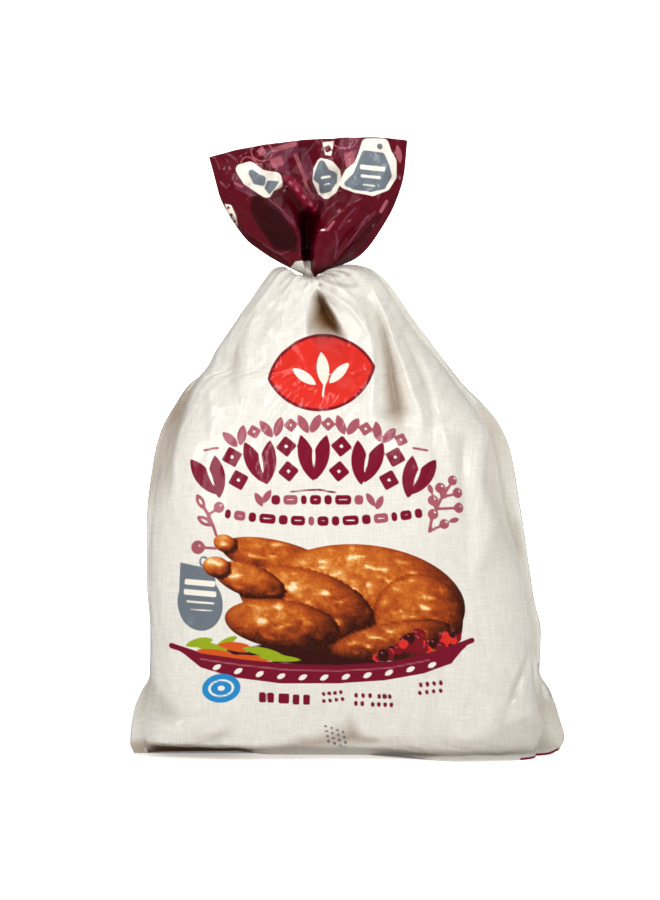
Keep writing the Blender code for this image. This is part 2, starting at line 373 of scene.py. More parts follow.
GATHERS = (Gather(30, 0.8, 2, 26, 41), Gather(17, 1.3, 12, 62, 42), Gather(9, 1.6, 30, 130, 43))
TAUT_WRINKLE = Wrinkle(1.0, 14, 80, 51)
TAUT_HEIGHT, TAUT_RISE = 0.22, 0.24
BODY_WRINKLES = (Wrinkle(0.09, 6, 44, 52), Wrinkle(0.45, 40, 50, 53, 90))
BODY_SWELL, BODY_SWELL_LENGTH = 1.1, 85.0
FOOT_WRINKLE = Wrinkle(0.35, 30, 14, 55)
COLLAR_WRINKLES = (Wrinkle(0.20, 9, 22, 61, 30), Wrinkle(0.10, 4, 9, 62, -20))
FAN_WRINKLES = (Wrinkle(0.8, 1 / 5, 60, 63), Wrinkle(0.5, 1 / 13, 35, 64))
MOUTH_WRINKLE = Wrinkle(0.7, 30, 34, 65, 50)
# Facets that the squeezed collar keeps: (spacing, height, seed)
SQUEEZED = ((12.5, 2.9, 71), (6.0, 0.6, 72))


def blurred(values: Array, times: int) -> Array:
    """Rounds a grid of values that closes on itself along its rows.

    Args:
        values: grid of (row, column).
        times: how often each value is averaged with its neighbours.

    Returns:
        The rounded grid.
    """
    for _ in range(times):
        values = (np.roll(values, 1, axis=1) + 2 * values + np.roll(values, -1, axis=1)) / 4
        padded = np.concatenate([values[:1], values, values[-1:]])
        values = (padded[:-2] + 2 * padded[1:-1] + padded[2:]) / 4
    return values


def facets(creases: Sequence[Points], anchors: Points, x: Array, z: Array) -> Array:
    """Heights of a net of flat facets that is folded along crease lines.

    Args:
        creases: lines of (x, z, height) points.
        anchors: (x, z) points of no height that hold the net's edges down.
        x: where to read it.
        z: where to read it.

    Returns:
        Heights, 0 outside the net.
    """
    points = [Vector(point[:2]) for crease in creases for point in crease]
    heights = [point[2] for crease in creases for point in crease]
    edges, first = [], 0
    for crease in creases:
        edges += [(first + k, first + k + 1) for k in range(len(crease) - 1)]
        first += len(crease)
    points += [Vector(anchor) for anchor in anchors]
    heights += [0.0] * len(anchors)
    corners, _, triangles, origins, _, _ = delaunay_2d_cdt(points, edges, [], 0, 1e-4)
    known = np.array(points)
    level = [heights[origin[0]] if origin
             else heights[int(np.argmin(np.hypot(*(known - np.array(corner)).T)))]
             for corner, origin in zip(corners, origins)]
    flat_x, flat_z = x.ravel(), z.ravel()
    out = np.zeros(flat_x.size)
    for triangle in triangles:
        (ax, az), (bx, bz), (cx, cz) = (corners[k] for k in triangle)
        area = (bx - ax) * (cz - az) - (cx - ax) * (bz - az)
        if abs(area) < 1e-9:
            continue
        near = np.nonzero((flat_x >= min(ax, bx, cx)) & (flat_x <= max(ax, bx, cx))
                          & (flat_z >= min(az, bz, cz)) & (flat_z <= max(az, bz, cz)))[0]
        px, pz = flat_x[near] - ax, flat_z[near] - az
        b = (px * (cz - az) - (cx - ax) * pz) / area
        c = ((bx - ax) * pz - px * (bz - az)) / area
        inside = (b >= -1e-6) & (c >= -1e-6) & (b + c <= 1 + 1e-6)
        a_level, b_level, c_level = (level[k] for k in triangle)
        out[near[inside]] = (a_level + b * (b_level - a_level) + c * (c_level - a_level))[inside]
    return out.reshape(x.shape)


def crumpled(x: Array, z: Array, spacing: float, height: float, seed: int) -> Array:
    """Small flat facets at random heights, which film keeps once it has been squeezed.

    Args:
        x: where to read them.
        z: where to read them.
        spacing: millimetres between the facets' corners.
        height: how far the corners lie from the middle at most.
        seed: picks the pattern.

    Returns:
        Their heights.
    """
    rng = np.random.default_rng(seed)
    corners = [(left + spacing * rng.uniform(-0.4, 0.4), low + spacing * rng.uniform(-0.4, 0.4),
                height * rng.uniform(-1, 1))
               for left in np.arange(x.min() - spacing, x.max() + 2 * spacing, spacing)
               for low in np.arange(z.min() - spacing, z.max() + 2 * spacing, spacing)]
    return facets([(corner,) for corner in corners], (), x, z)


def resampled(x: Array, y: Array, count: int) -> tuple[Array, Array]:
    """Points evenly spaced by length along an open line.

    Args:
        x: first coordinates of the line.
        y: second coordinates of the line.
        count: number of steps between the points.

    Returns:
        The coordinates of count + 1 points.
    """
    length = np.concatenate([[0], np.cumsum(np.hypot(np.diff(x), np.diff(y)))])
    at = np.linspace(0, length[-1], count + 1)
    return np.interp(at, length, x), np.interp(at, length, y)


@dataclass(frozen=True)
class RingPlan:
    """How the points of a ring are shared out between its front and its back."""

    front: int
    back: int
    samples: int = 900

    def __post_init__(self) -> None:
        """Stops a plan whose points a sphere's meridians wouldn't match one to one."""
        if (self.front + self.back) % 4:
            raise ValueError("front and back columns together must be a multiple of four")

    def ring(self, left: float, right: float, front_y: Callable[[Array], Array],
             back_y: Callable[[Array], Array]) -> tuple[Array, Array]:
        """A closed ring, from its left edge along the front and home along the back.

        Args:
            left: x of the left edge.
            right: x of the right edge.
            front_y: the front wall as a function of x.
            back_y: the back wall as a function of x.

        Returns:
            x and y of the ring's points.
        """
        spread = (1 - np.cos(np.linspace(0, math.pi, self.samples))) / 2
        x = left + (right - left) * spread
        front = resampled(x, front_y(x), self.front)
        back = resampled(x[::-1], back_y(x[::-1]), self.back)
        ring_x, ring_y = (np.concatenate([f[:-1], b[:-1]]) for f, b in zip(front, back))
        return ring_x, ring_y


@dataclass
class Skin:
    """A closed skin of film as rows of points, with its print and its film coordinates.

    Attributes:
        name: name of the piece.
        rows: points as (row, column, xyz) in millimetres, foot first.
        across: film coordinate round the tube, in millimetres.
        up: film coordinate along the tube, in millimetres.
        inks: one signed distance field for each ink, positive inside it.
        tone: how light the roast print is.
        inner: 1 where the film's unprinted side faces out.
        painted_shade: shade painted into the film's colour where it lies deep in a fold or along the hem, from
            0 to 1.
    """

    name: str
    rows: Array
    across: Array
    up: Array
    inks: dict[Ink, Array]
    tone: Array
    inner: Array
    painted_shade: Array

    def build(self, material: bpy.types.Material) -> bpy.types.Object:
        """Shapes a sphere to the rows of points and gives it the film's coordinates and print.

        Args:
            material: the printed film.

        Returns:
            The new object.
        """
        row_count, columns = self.rows.shape[:2]
        shape = bmesh.new()
        bmesh.ops.create_uvsphere(shape, u_segments=columns, v_segments=row_count + 1, radius=1)
        mesh = bpy.data.meshes.new(self.name)
        shape.to_mesh(mesh)
        shape.free()
        count = len(mesh.vertices)
        place = np.empty(count * 3, np.float32)
        mesh.vertices.foreach_get("co", place)
        x, y, z = place.reshape(-1, 3).T.astype(float)
        row = np.rint((np.arcsin(np.clip(z, -1, 1)) / math.pi + 0.5) * (row_count + 1)).astype(int)
        column = np.rint(np.arctan2(y, x) / math.tau * columns).astype(int) % columns
        pole = (row == 0) | (row == row_count + 1)
        row = np.clip(row - 1, 0, row_count - 1)
        spots = self.rows[row, column]
        spots[pole] = self.rows.mean(axis=1)[row[pole]]
        mesh.vertices.foreach_set("co", (spots * MM).astype(np.float32).ravel())
        for ink, distance in self.inks.items():
            self._attribute(mesh, f"ink_{ink.value}", distance[row, column])
        self._attribute(mesh, "roast_tone", self.tone[row, column])
        self._attribute(mesh, "inner_side", self.inner[row, column])
        # painted shade: how much the film's colour is darkened in folds and along the hem
        self._attribute(mesh, "painted_shade", self.painted_shade[row, column])
        self._film_coordinates(mesh, row, column)
        mesh.shade_smooth()
        mesh.materials.append(material)
        mesh.update()
        made = bpy.data.objects.new(self.name, mesh)
        bpy.context.scene.collection.objects.link(made)
        LOG.info("%s: %d points, %d faces", self.name, count, len(mesh.polygons))
        return made

    @staticmethod
    def _attribute(mesh: bpy.types.Mesh, name: str, values: Array) -> None:
        """Stores one number for each point of a mesh.

        Args:
            mesh: the mesh.
            name: the attribute's name.
            values: one number for each vertex.
        """
        attribute = mesh.attributes.new(name, "FLOAT", "POINT")
        attribute.data.foreach_set("value", values.astype(np.float32))

    def _film_coordinates(self, mesh: bpy.types.Mesh, row: Array, column: Array) -> None:
        """Stores the film coordinates, in metres, as the mesh's UV map.

        Args:
            mesh: the mesh.
            row: each vertex's row.
            column: each vertex's column.
        """
        corner = np.empty(len(mesh.loops), np.int32)
        mesh.loops.foreach_get("vertex_index", corner)
        start = np.empty(len(mesh.polygons), np.int32)
        mesh.polygons.foreach_get("loop_start", start)
        corner_column = column[corner]
        highest = np.maximum.reduceat(corner_column, start)
        sizes = np.diff(np.append(start, len(corner)))
        wraps = (corner_column == 0) & (np.repeat(highest, sizes) > self.rows.shape[1] / 2)
        u = self.across[row[corner], corner_column]
        u = np.where(wraps, 2 * self.across[row[corner], -1] - self.across[row[corner], -2], u)
        v = self.up[row[corner], corner_column]
        layer = mesh.uv_layers.new(name="film")
        layer.data.foreach_set("uv", (np.stack([u, v], axis=1) * MM).astype(np.float32).ravel())


def in_photo(rows: Array) -> tuple[Array, Array]:
    """Where points show in the plane of the side seams, as the camera sees them.

    Args:
        rows: points in millimetres.

    Returns:
        x and z in that plane, in millimetres.
    """
    scale = -CAMERA_Y / (rows[..., 1] - CAMERA_Y)
    return CAMERA_X + (rows[..., 0] - CAMERA_X) * scale, CAMERA_Z + (rows[..., 2] - CAMERA_Z) * scale


def normals_of(rows: Array) -> Array:
    """Outward directions at rows of points that climb, each closed counter-clockwise.

    Args:
        rows: points as (row, column, xyz).

    Returns:
        Unit vectors of the same shape.
    """
    along_row = np.roll(rows, -1, axis=1) - np.roll(rows, 1, axis=1)
    upward = np.gradient(rows, axis=0)
    normal = np.cross(along_row, upward)
    length = np.linalg.norm(normal, axis=-1, keepdims=True)
    return normal / np.maximum(length, 1e-9)


def film_lengths(rows: Array) -> tuple[Array, Array]:
    """Lengths along the film round each ring from its first column, and up each column.

    Args:
        rows: points as (row, column, xyz).

    Returns:
        Length round and length up, in millimetres.
    """
    steps = np.linalg.norm(np.diff(rows, axis=1), axis=-1)
    around = np.concatenate([np.zeros((len(rows), 1)), np.cumsum(steps, axis=1)], axis=1)
    climbs = np.linalg.norm(np.diff(rows, axis=0), axis=-1)
    up = np.concatenate([np.zeros((1, rows.shape[1])), np.cumsum(climbs, axis=0)])
    return around, up


@dataclass
class Artwork:
    """A print drawn in inks on film, painted shape over shape.

    Attributes:
        across: coordinate across the print, in millimetres.
        up: coordinate up the print, in millimetres.
        inks: one signed distance field for each ink, positive inside it.
        tone: how light the roast print is.
    """

    across: Array
    up: Array
    inks: dict[Ink, Array] = field(init=False)
    tone: Array = field(init=False)

    def __post_init__(self) -> None:
        """Starts with bare film."""
        self.inks = {ink: np.full(self.across.shape, -FAR) for ink in Ink}
        self.tone = np.full(self.across.shape, 0.5)

    def paint(self, ink: Ink, inside: Array) -> None:
        """Lays one shape in an ink over what is there.

        Args:
            ink: the ink.
            inside: signed distance to the shape's edge, positive inside.
        """
        inside = np.clip(inside, -FAR, FAR)
        order = list(Ink)
        for other in order[order.index(ink) + 1:]:
            self.inks[other] = np.minimum(self.inks[other], INK_EDGE - inside)
        self.inks[ink] = np.maximum(self.inks[ink], inside)

    def paint_all(self, ink: Ink, shape: Callable[..., Array], places: Iterable[tuple]) -> None:
        """Lays several shapes of one kind in an ink.

        Args:
            ink: the ink.
            shape: which of the artwork's shapes.
            places: for each, the values that the shape takes.
        """
        for place in places:
            self.paint(ink, shape(*place))

    def ring(self, middle: Place, width: float, height: float, turn: float, thickness: float) -> Array:
        """Distance inside the line of an oval ring.

        Args:
            middle: its middle.
            width: full width.
            height: full height.
            turn: degrees counter-clockwise.
            thickness: how wide the line is.

        Returns:
            Signed distance, positive inside.
        """
        inside = self.oval(middle, width, height, turn)
        return np.minimum(inside, thickness - inside)

    def local(self, middle: Place, turn: float = 0.0) -> tuple[Array, Array]:
        """Coordinates about a middle, turned counter-clockwise.

        Args:
            middle: where the shape is.
            turn: how far it is turned, in degrees.

        Returns:
            Coordinates along and across the turned shape.
        """
        x, y = self.across - middle[0], self.up - middle[1]
        cos, sin = math.cos(math.radians(turn)), math.sin(math.radians(turn))
        return x * cos + y * sin, y * cos - x * sin

    def oval(self, middle: Place, width: float, height: float, turn: float = 0.0) -> Array:
        """Distance inside an oval.

        Args:
            middle: its middle.
            width: full width.
            height: full height.
            turn: degrees counter-clockwise.

        Returns:
            Signed distance, positive inside.
        """
        x, y = self.local(middle, turn)
        reach = np.hypot(x / (width / 2), y / (height / 2))
        slope = np.hypot(x / (width / 2) ** 2, y / (height / 2) ** 2)
        return np.where(reach > 1e-6, reach * (1 - reach) / np.maximum(slope, 1e-6), min(width, height) / 2)

    def bar(self, middle: Place, width: float, height: float, turn: float = 0.0,
            corner: float = 0.6) -> Array:
        """Distance inside a bar with rounded corners.

        Args:
            middle: its middle.
            width: full width.
            height: full height.
            turn: degrees counter-clockwise.
            corner: radius of the corners.

        Returns:
            Signed distance, positive inside.
        """
        x, y = self.local(middle, turn)
        dx, dy = np.abs(x) - width / 2 + corner, np.abs(y) - height / 2 + corner
        outside = np.hypot(np.maximum(dx, 0), np.maximum(dy, 0))
        return corner - outside - np.minimum(np.maximum(dx, dy), 0)

    def leaf(self, middle: Place, length: float, width: float, turn: float = 0.0) -> Array:
        """Distance inside a pointed leaf, where two circles cross.

        Args:
            middle: its middle.
            length: from tip to tip.
            width: across its middle.
            turn: degrees counter-clockwise of its long way.

        Returns:
            Signed distance, positive inside.
        """
        x, y = self.local(middle, turn)
        radius = (length**2 + width**2) / (4 * width)
        return radius - np.hypot(x, np.abs(y) + radius - width / 2)

    def stroke(self, path: Points, width: float) -> Array:
        """Distance inside a line of a given width.

        Args:
            path: its points.
            width: its width.

        Returns:
            Signed distance, positive inside.
        """
        nearest = np.full(self.across.shape, np.inf)
        for (x0, y0), (x1, y1) in zip(path, path[1:]):
            dx, dy = x1 - x0, y1 - y0
            run = np.clip(((self.across - x0) * dx + (self.up - y0) * dy) / (dx * dx + dy * dy), 0, 1)
            nearest = np.minimum(nearest, np.hypot(self.across - x0 - run * dx, self.up - y0 - run * dy))
        return width / 2 - nearest

    def outline(self, corners: Points) -> Array:
        """Distance inside a closed shape with straight sides.

        Args:
            corners: its corners in order.

        Returns:
            Signed distance, positive inside.
        """
        crossings = np.zeros(self.across.shape, bool)
        for (x0, y0), (x1, y1) in zip(corners, [*corners[1:], corners[0]]):
            if y0 == y1:
                continue
            spans = (self.up >= min(y0, y1)) & (self.up < max(y0, y1))
            crossings ^= spans & (self.across < x0 + (self.up - y0) * (x1 - x0) / (y1 - y0))
        edge = -self.stroke([*corners, corners[0]], 0)
        return np.where(crossings, edge, -edge)

    def rounded(self, corners: Points, radius: float) -> Array:
        """Distance inside a closed shape whose outer corners are rounded.

        Args:
            corners: its corners in order.
            radius: how round they are, in mm.

        Returns:
            Signed distance, positive inside.
        """
        points = np.array(corners)
        middle = points.mean(axis=0)
        shrunk = 1 - radius / np.hypot(*(points - middle).T).mean()
        return self.outline([tuple(point) for point in middle + (points - middle) * shrunk]) + radius

    def shade(self, inside: Array, tone: Array) -> None:
        """Prints a shaded shape in the roast ink.

        Args:
            inside: signed distance, positive inside.
            tone: how light it is.
        """
        self.tone = np.where(inside > -3 * INK_EDGE, tone, self.tone)
        self.paint(Ink.ROAST, inside)


DISH_RIM = ((-140.4, 86.4), (-117.2, 78.4), (-85.2, 73.6), (-45.2, 69.6), (-5.2, 68.8), (34.8, 71.2),
            (66.8, 77.6),
            (101.2, 90.4))
DISH_UNDER = ((92.4, 81.6), (84.4, 72), (62.8, 64), (30.8, 58.4), (-5.2, 56), (-53.2, 56), (-91.6, 60.8),
              (-117.2, 68.8), (-130, 79.2))


@dataclass(frozen=True)
class Lump:
    """A rounded part of the printed roast.

    Attributes:
        middle: its middle.
        width: its width.
        height: its height.
        turn: degrees counter-clockwise.
        light: how light it is as a whole.
        seed: picks the browning.
    """

    middle: Place
    width: float
    height: float
    turn: float
    light: float
    seed: int


# The roast with its legs to the left, from the far leg over the breast and the wing to the near leg
ROAST = (
    Lump((-56, 156), 90, 29, -13, 0.86, 21), Lump((-97, 168), 19, 14, -20, 1.25, 23),
    Lump((14, 121), 164, 92, -6, 1.04, 25), Lump((58, 106), 72, 74, 22, 0.90, 27),
    Lump((-32, 119), 112, 54, -17, 1.0, 29), Lump((-78, 138), 60, 25, -20, 1.05, 31),
    Lump((-104, 149), 22, 17, -12, 1.3, 33), Lump((-52, 103), 92, 38, -8, 0.94, 35),
    Lump((36, 91), 96, 25, 11, 0.84, 37),
)


@dataclass(frozen=True)
class BlockRow:
    """A row of small burgundy blocks under the dish.

    Attributes:
        left: where it starts.
        right: where it ends.
        level: its height above the foot at the left.
        height: how tall the blocks are.
        climb: degrees counter-clockwise that it climbs.
        pitch: from one block to the next, about.
    """

    left: float
    right: float
    level: float
    height: float
    climb: float = -1.5
    pitch: float = 5.0


BLOCK_GAP = 2.2
BLOCK_ROWS = (
    BlockRow(-70.8, -57.2, 44.8, 8, pitch=7.5), BlockRow(-53.2, -46.8, 44, 8, pitch=7.5),
    BlockRow(-44.4, -27.6, 43.2, 8, pitch=7.5), BlockRow(5.2, 22, 46.4, 4), BlockRow(24.4, 37.2, 45.6, 4),
    BlockRow(5.2, 15.6, 40, 4), BlockRow(18.8, 38.8, 39.2, 4), BlockRow(-20.4, -2, 47.2, 3.2, 6),
    BlockRow(-20.4, -0.4, 41.6, 3.2, 6), BlockRow(57.2, 78.8, 54.4, 4, 6), BlockRow(56.4, 78.8, 48, 3.6, 6),
)


@dataclass
class FrontPrint:
    """The printed front: badge, arched frieze, sprigs, weight tag, roast on a dish and small notes.

    Attributes:
        art: the artwork, in millimetres from the middle of the print and from the foot.
    """

    art: Artwork

    def draw(self) -> None:
        """Draws the whole front."""
        self.badge()
        self.arched_frieze()
        self.note_rows()
        self.sprigs()
        self.weight_tag()
        self.roast()
        self.dish()
        self.garnish()
        self.foot_notes()

    def badge(self) -> None:
        """A red badge with a dark edge and a plain pale plant with three leaves."""
        art = self.art
        x, y = (-19.6, 304.8)
        shape = np.maximum(art.leaf((x, y), 84, 58, 7), art.oval((x - 1, y), 76, 44, 10))
        art.paint(Ink.BERRY, shape + 1.8)
        art.paint(Ink.RED, shape - 0.6)
        art.paint_all(Ink.CREAM, art.leaf, (((x + 1, y + 3), 29, 11, 96), ((x - 14, y - 3), 25, 9, 146),
                                            ((x + 14, y), 25, 9, 46)))
        art.paint(Ink.CREAM, art.stroke(((x + 2.3, y - 9), (x + 1, y - 19)), 2.8))

    def along_arch(self, middle: Place, radius: float, angle: float) -> tuple[Place, float]:
        """A place on an arch.

        Args:
            middle: top of the arch.
            radius: its radius.
            angle: degrees to the right of the top.

        Returns:
            The place, and how far a shape there is turned counter-clockwise.
        """
        turn = math.radians(angle)
        place = (middle[0] + radius * math.sin(turn), middle[1] - radius * (1 - math.cos(turn)))
        return place, -angle

    def arched_frieze(self) -> None:
        """A rose row of small shapes over a bold burgundy row, both arched."""
        art = self.art
        top = (-24.4, 264)
        for k, angle in enumerate(np.linspace(-21, 21, 15)):
            place, turn = self.along_arch(top, 192, angle)
            lean = (26, -26, 0)[k % 3]
            if k % 3 == 2:
                art.paint(Ink.ROSE, art.bar(place, 8.6, 8.6, turn + 45, 1))
                art.paint(Ink.CREAM, art.bar(place, 3, 3, turn + 45, 0.5))
                continue
            art.paint(Ink.ROSE, art.leaf(place, 17, 7.4, turn + 90 + lean))
        for side in (-1, 1):
            place, turn = self.along_arch((top[0], top[1] - 1), 192, side * 26)
            art.paint(Ink.ROSE, art.bar(place, 13, 1.9, turn * 0.4))
        bold = (-26, 236.8)
        for k, angle in enumerate(np.linspace(-21, 21, 9)):
            place, turn = self.along_arch(bold, 232, angle)
            height = 38 - 0.8 * abs(k - 4)
            if k % 2:
                for end in (-1, 1):
                    shift, turned = end * height * 0.27, math.radians(turn)
                    spot = (place[0] - shift * math.sin(turned), place[1] + shift * math.cos(turned))
                    art.paint(Ink.BURGUNDY, art.bar(spot, 12.4, 12.4, turn + 45, 1.2))
                    art.paint(Ink.CREAM, art.bar(spot, 3.4, 3.4, turn + 45, 0.6))
                continue
            for lean in (-1, 1):
                art.paint(Ink.BURGUNDY, art.leaf((place[0] + lean * 5.6, place[1]), height, 13,
                                                 turn + 90 - 15 * lean))
            art.paint(Ink.CREAM, art.leaf((place[0], place[1] + 1), height * 0.66, 3.4, turn + 90))
        art.paint(Ink.BURGUNDY, art.stroke(((-44.4, 209.6), (-22.8, 211.2), (-8.4, 208.8)), 1.5))

    def note_rows(self) -> None:
        """Two rows of short burgundy marks, the lower one turned up at its ends."""
        art = self.art
        for row, (start, end, level, bend) in enumerate(((-60, 12, 203, 0.0), (-97, 57, 186, 6.0))):
            at, k = start, 0
            while at < end:
                length = (7.0, 11.5, 4.6, 9.0, 6.0, 13.0)[(k + 2 * row) % 6]
                middle = at + length / 2
                up = level + bend * ((middle + 20) / 77) ** 2
                ink = Ink.ROSE if k % 5 == 1 else Ink.BURGUNDY
                slope = math.degrees(math.atan(2 * bend * (middle + 20) / 77**2))
                art.paint(ink, art.bar((middle, up), length, 7.6, slope, 2.6))
                if length > 8:
                    art.paint(Ink.CREAM, art.bar((middle, up), length - 4.6, 1.9, slope, 0.9))
                at, k = at + length + 2.6, k + 1
        art.paint_all(Ink.ROSE, art.leaf, (((-70, 203.2), 13, 5.4, 118), ((-63.6, 205.6), 13, 5.4, 60),
                                           ((19.6, 203.2), 13, 5.4, 122), ((26.8, 200.8), 13, 5.4, 66)))

    def sprig(self, foot: Place, lean: float, berries: Points, leaves: Points) -> None:
        """A stem with berries and leaves.

        Args:
            foot: where the stem starts.
            lean: which way it bends, in millimetres to the right.
            berries: (x, y, width) from the foot.
            leaves: (x, y, length, turn) from the foot.
        """
        art = self.art
        stem = [(foot[0] + lean * (k / 4) ** 1.6, foot[1] + 9 * k) for k in range(5)]
        art.paint(Ink.ROSE, art.stroke(stem, 2.4))
        for x, y, width in berries:
            middle = (foot[0] + x, foot[1] + y)
            root = stem[min(4, max(0, int(y // 9)))]
            art.paint(Ink.ROSE, art.stroke((root, middle), 2.2))
            art.paint(Ink.ROSE, art.oval(middle, width, width))
            art.paint(Ink.CREAM, art.oval((middle[0] + 1.4, middle[1] + 1.4), 2.8, 2.8))
        for x, y, length, turn in leaves:
            middle = (foot[0] + x, foot[1] + y)
            art.paint(Ink.ROSE, art.leaf(middle, length, length * 0.46, turn))
            if length > 12:
                art.paint(Ink.CREAM, art.leaf(middle, length * 0.6, 2.6, turn))

    def sprigs(self) -> None:
        """A sprig of leaves and two berries at the left, and a fuller one at the right."""
        self.sprig((-102, 164), -14, ((-17, 1, 11), (0, 33, 9)),
                   ((-11.5, 22, 15, 150), (-15, 37.5, 14, 118)))
        self.sprig((66.8, 177.6), 16, ((3, 14, 8.5), (12, 6, 8), (3, 25, 8.5), (9, 35, 8.5), (23, 31, 8.5),
                                    (24, 19, 8.5), (19, 41, 8)),
                   ((1, 34, 9, 110), (20, 9, 9, 15)))

    def weight_tag(self) -> None:
        """A plain grey tag on a loop, with pale bars."""
        art = self.art
        shape = np.maximum(art.oval((-117.2, 120), 36, 44, 8),
                           art.outline(((-133.2, 152.8), (-106, 147.2), (-102, 115.2), (-134, 115.2))))
        art.paint(Ink.GREY, shape)
        art.paint(Ink.GREY, art.ring((-114, 153.6), 8, 9, 10, 1.8))
        for k, (length, width) in enumerate(((25, 5.4), (27, 5.4), (24, 2.6), (20, 2.0))):
            art.paint(Ink.CREAM, art.bar((-117.5 + 0.3 * k, 136.5 - 8.2 * k + 0.7 * max(0, k - 1) ** 2),
                                         length, width,
                                         -5, 1.0))

    def dish(self) -> None:
        """A burgundy dish with a pale rim line and a row of pale ovals."""
        art = self.art
        art.paint(Ink.BURGUNDY, np.maximum(art.outline((*DISH_RIM, *DISH_UNDER)), art.stroke(DISH_RIM, 4.2)))
        for k in range(11):
            x = -104.0 + 17.3 * k
            y = 60.6 + 12.2 * ((x + 22) / 100) ** 2
            art.paint(Ink.CREAM, art.leaf((x, y), 9.5, 4.8, 26 + 2 * (k % 3)))

    def lump(self, lump: Lump) -> None:
        """Draws a part of the roast, lit from the upper left, with a browned skin.

        Args:
            lump: the part.
        """
        art = self.art
        x, y = art.local(lump.middle, lump.turn)
        u, v = x / (lump.width / 2), y / (lump.height / 2)
        dome = np.sqrt(np.clip(1 - u * u - v * v, 0, 1))
        slant = math.radians(lump.turn)
        left = -u * math.cos(slant) + v * math.sin(slant)
        high = u * math.sin(slant) + v * math.cos(slant)
        browning = noise(art.across / 11, art.up / 8, lump.seed) + 0.6 * noise(art.across / 4, art.up / 4,
                                                                               lump.seed + 1)
        glint = np.maximum(0, noise(art.across / 12 + 0.4 * browning, art.up / 5, lump.seed + 2) - 0.05) ** 2
        lit = lump.light * (0.06 + 0.18 * left + 0.34 * high + 0.48 * dome)
        tone = lit + 0.30 * browning * dome + 3.2 * glint * dome
        art.shade(art.oval(lump.middle, lump.width, lump.height, lump.turn), np.clip(tone, 0.04, 1))

    def roast(self) -> None:
        """A plain roast bird over its own dark shade."""
        self.art.paint(Ink.DARK, self.art.oval((-13.2, 79.2), 176, 20))
        for lump in ROAST:
            self.lump(lump)

    def garnish(self) -> None:
        """Green and orange strips at the left and a heap of berries at the right."""
        art = self.art
        for middle, length, width, turn, ink in (
            ((-118, 88.8), 24, 7, 12, Ink.GREEN), ((-109.2, 84.8), 34, 7, -14, Ink.GREEN),
            ((-96.4, 88.8), 22, 6, 28, Ink.GREEN), ((-86.8, 84.8), 34, 8, -8, Ink.ORANGE),
            ((-102, 79.2), 40, 7, -10, Ink.ORANGE), ((-67.6, 81.6), 36, 7, -9, Ink.GREEN),
            ((-77.2, 76), 44, 6, -5, Ink.ORANGE), ((-53.2, 76), 40, 6, -4, Ink.GREEN),
        ):
            art.paint(ink, art.leaf(middle, length, width, turn))
        rng = np.random.default_rng(4)
        for k in range(46):
            x = 22 + 70 * rng.random()
            y = 76 + (6 + 15 * rng.random()) * smooth_step(20, 62, x) + 5 * smooth_step(60, 92, x)
            size = 6.0 + 3.4 * rng.random()
            art.paint((Ink.BERRY, Ink.DARK, Ink.RED)[k % 3 if k % 5 else 0], art.oval((x, y), size, size))
            art.paint(Ink.ROSE, art.oval((x - 1.2, y + 1.4), 3.0, 2.6))
        rim = DISH_RIM[1:]
        art.paint(Ink.BURGUNDY, art.stroke(rim, 4.2))
        art.paint(Ink.ROSE, art.stroke([(x, y - 3.0) for x, y in rim[:-1]], 1.5))

    def foot_notes(self) -> None:
        """A blue oval, rows of small bars and a dotted code under the dish."""
        art = self.art
        for ink, width, height in ((Ink.BLUE, 31, 23), (Ink.CREAM, 22, 15), (Ink.BLUE, 17, 11), (Ink.CREAM, 7,
                                                                                                 5)):
            art.paint(ink, art.oval((-100.4, 52), width, height, 6))
        for row in BLOCK_ROWS:
            self.blocks(row)
        x, y = (-16.4, 21.6)
        art.paint_all(Ink.GREY, art.oval, (((x + 4.8 * k + 0.8 * row, y - 4.2 * row - 1.7 * k), 2.6, 2.4)
                                           for row in range(4) for k in range(4)))

    def blocks(self, row: BlockRow) -> None:
        """Draws a row of small blocks.

        Args:
            row: the row.
        """
        count = max(2, round((row.right - row.left) / row.pitch))
        for k in range(count):
            x = row.left + (row.right - row.left) * (k + 0.5) / count
            y = row.level + math.tan(math.radians(row.climb)) * (x - row.left)
            self.art.paint(Ink.BURGUNDY, self.art.bar((x, y), row.pitch - BLOCK_GAP, row.height, row.climb,
                                                      0.8))


@dataclass
class BackPrint:
    """The back, which the photograph doesn't show: plain panels of bars in the front's inks.

    Attributes:
        art: the artwork, in millimetres from the middle of the back and from the foot.
    """

    art: Artwork

    def draw(self) -> None:
        """Draws the back."""
        art = self.art
        for x, y, width, height in ((-48, 150, 78, 96), (44, 160, 74, 76)):
            art.paint(Ink.BURGUNDY, art.bar((x, y + height / 2 - 8), width, 12, 0, 2))
            for k in range(int((height - 30) / 8)):
                length = width * (0.97 - 0.22 * ((k * 7) % 5) / 4)
                level = y + height / 2 - 24 - 8 * k
                art.paint(Ink.ROSE, art.bar((x - width / 2 + length / 2, level), length, 3.4))
            art.paint(Ink.BURGUNDY, art.bar((x, y - height / 2 + 1), width, 2.4))
        art.paint(Ink.BURGUNDY, art.bar((0, 238), 130, 26, 0, 8))
        for k in range(5):
            art.paint(Ink.CREAM, art.leaf((-48 + 24 * k, 238), 17, 8, 20))
        art.paint(Ink.GREY, art.oval((-46, 72), 40, 30))
        art.paint(Ink.BLUE, art.oval((40, 74), 36, 26))
        art.paint(Ink.CREAM, art.oval((40, 74), 14, 11))


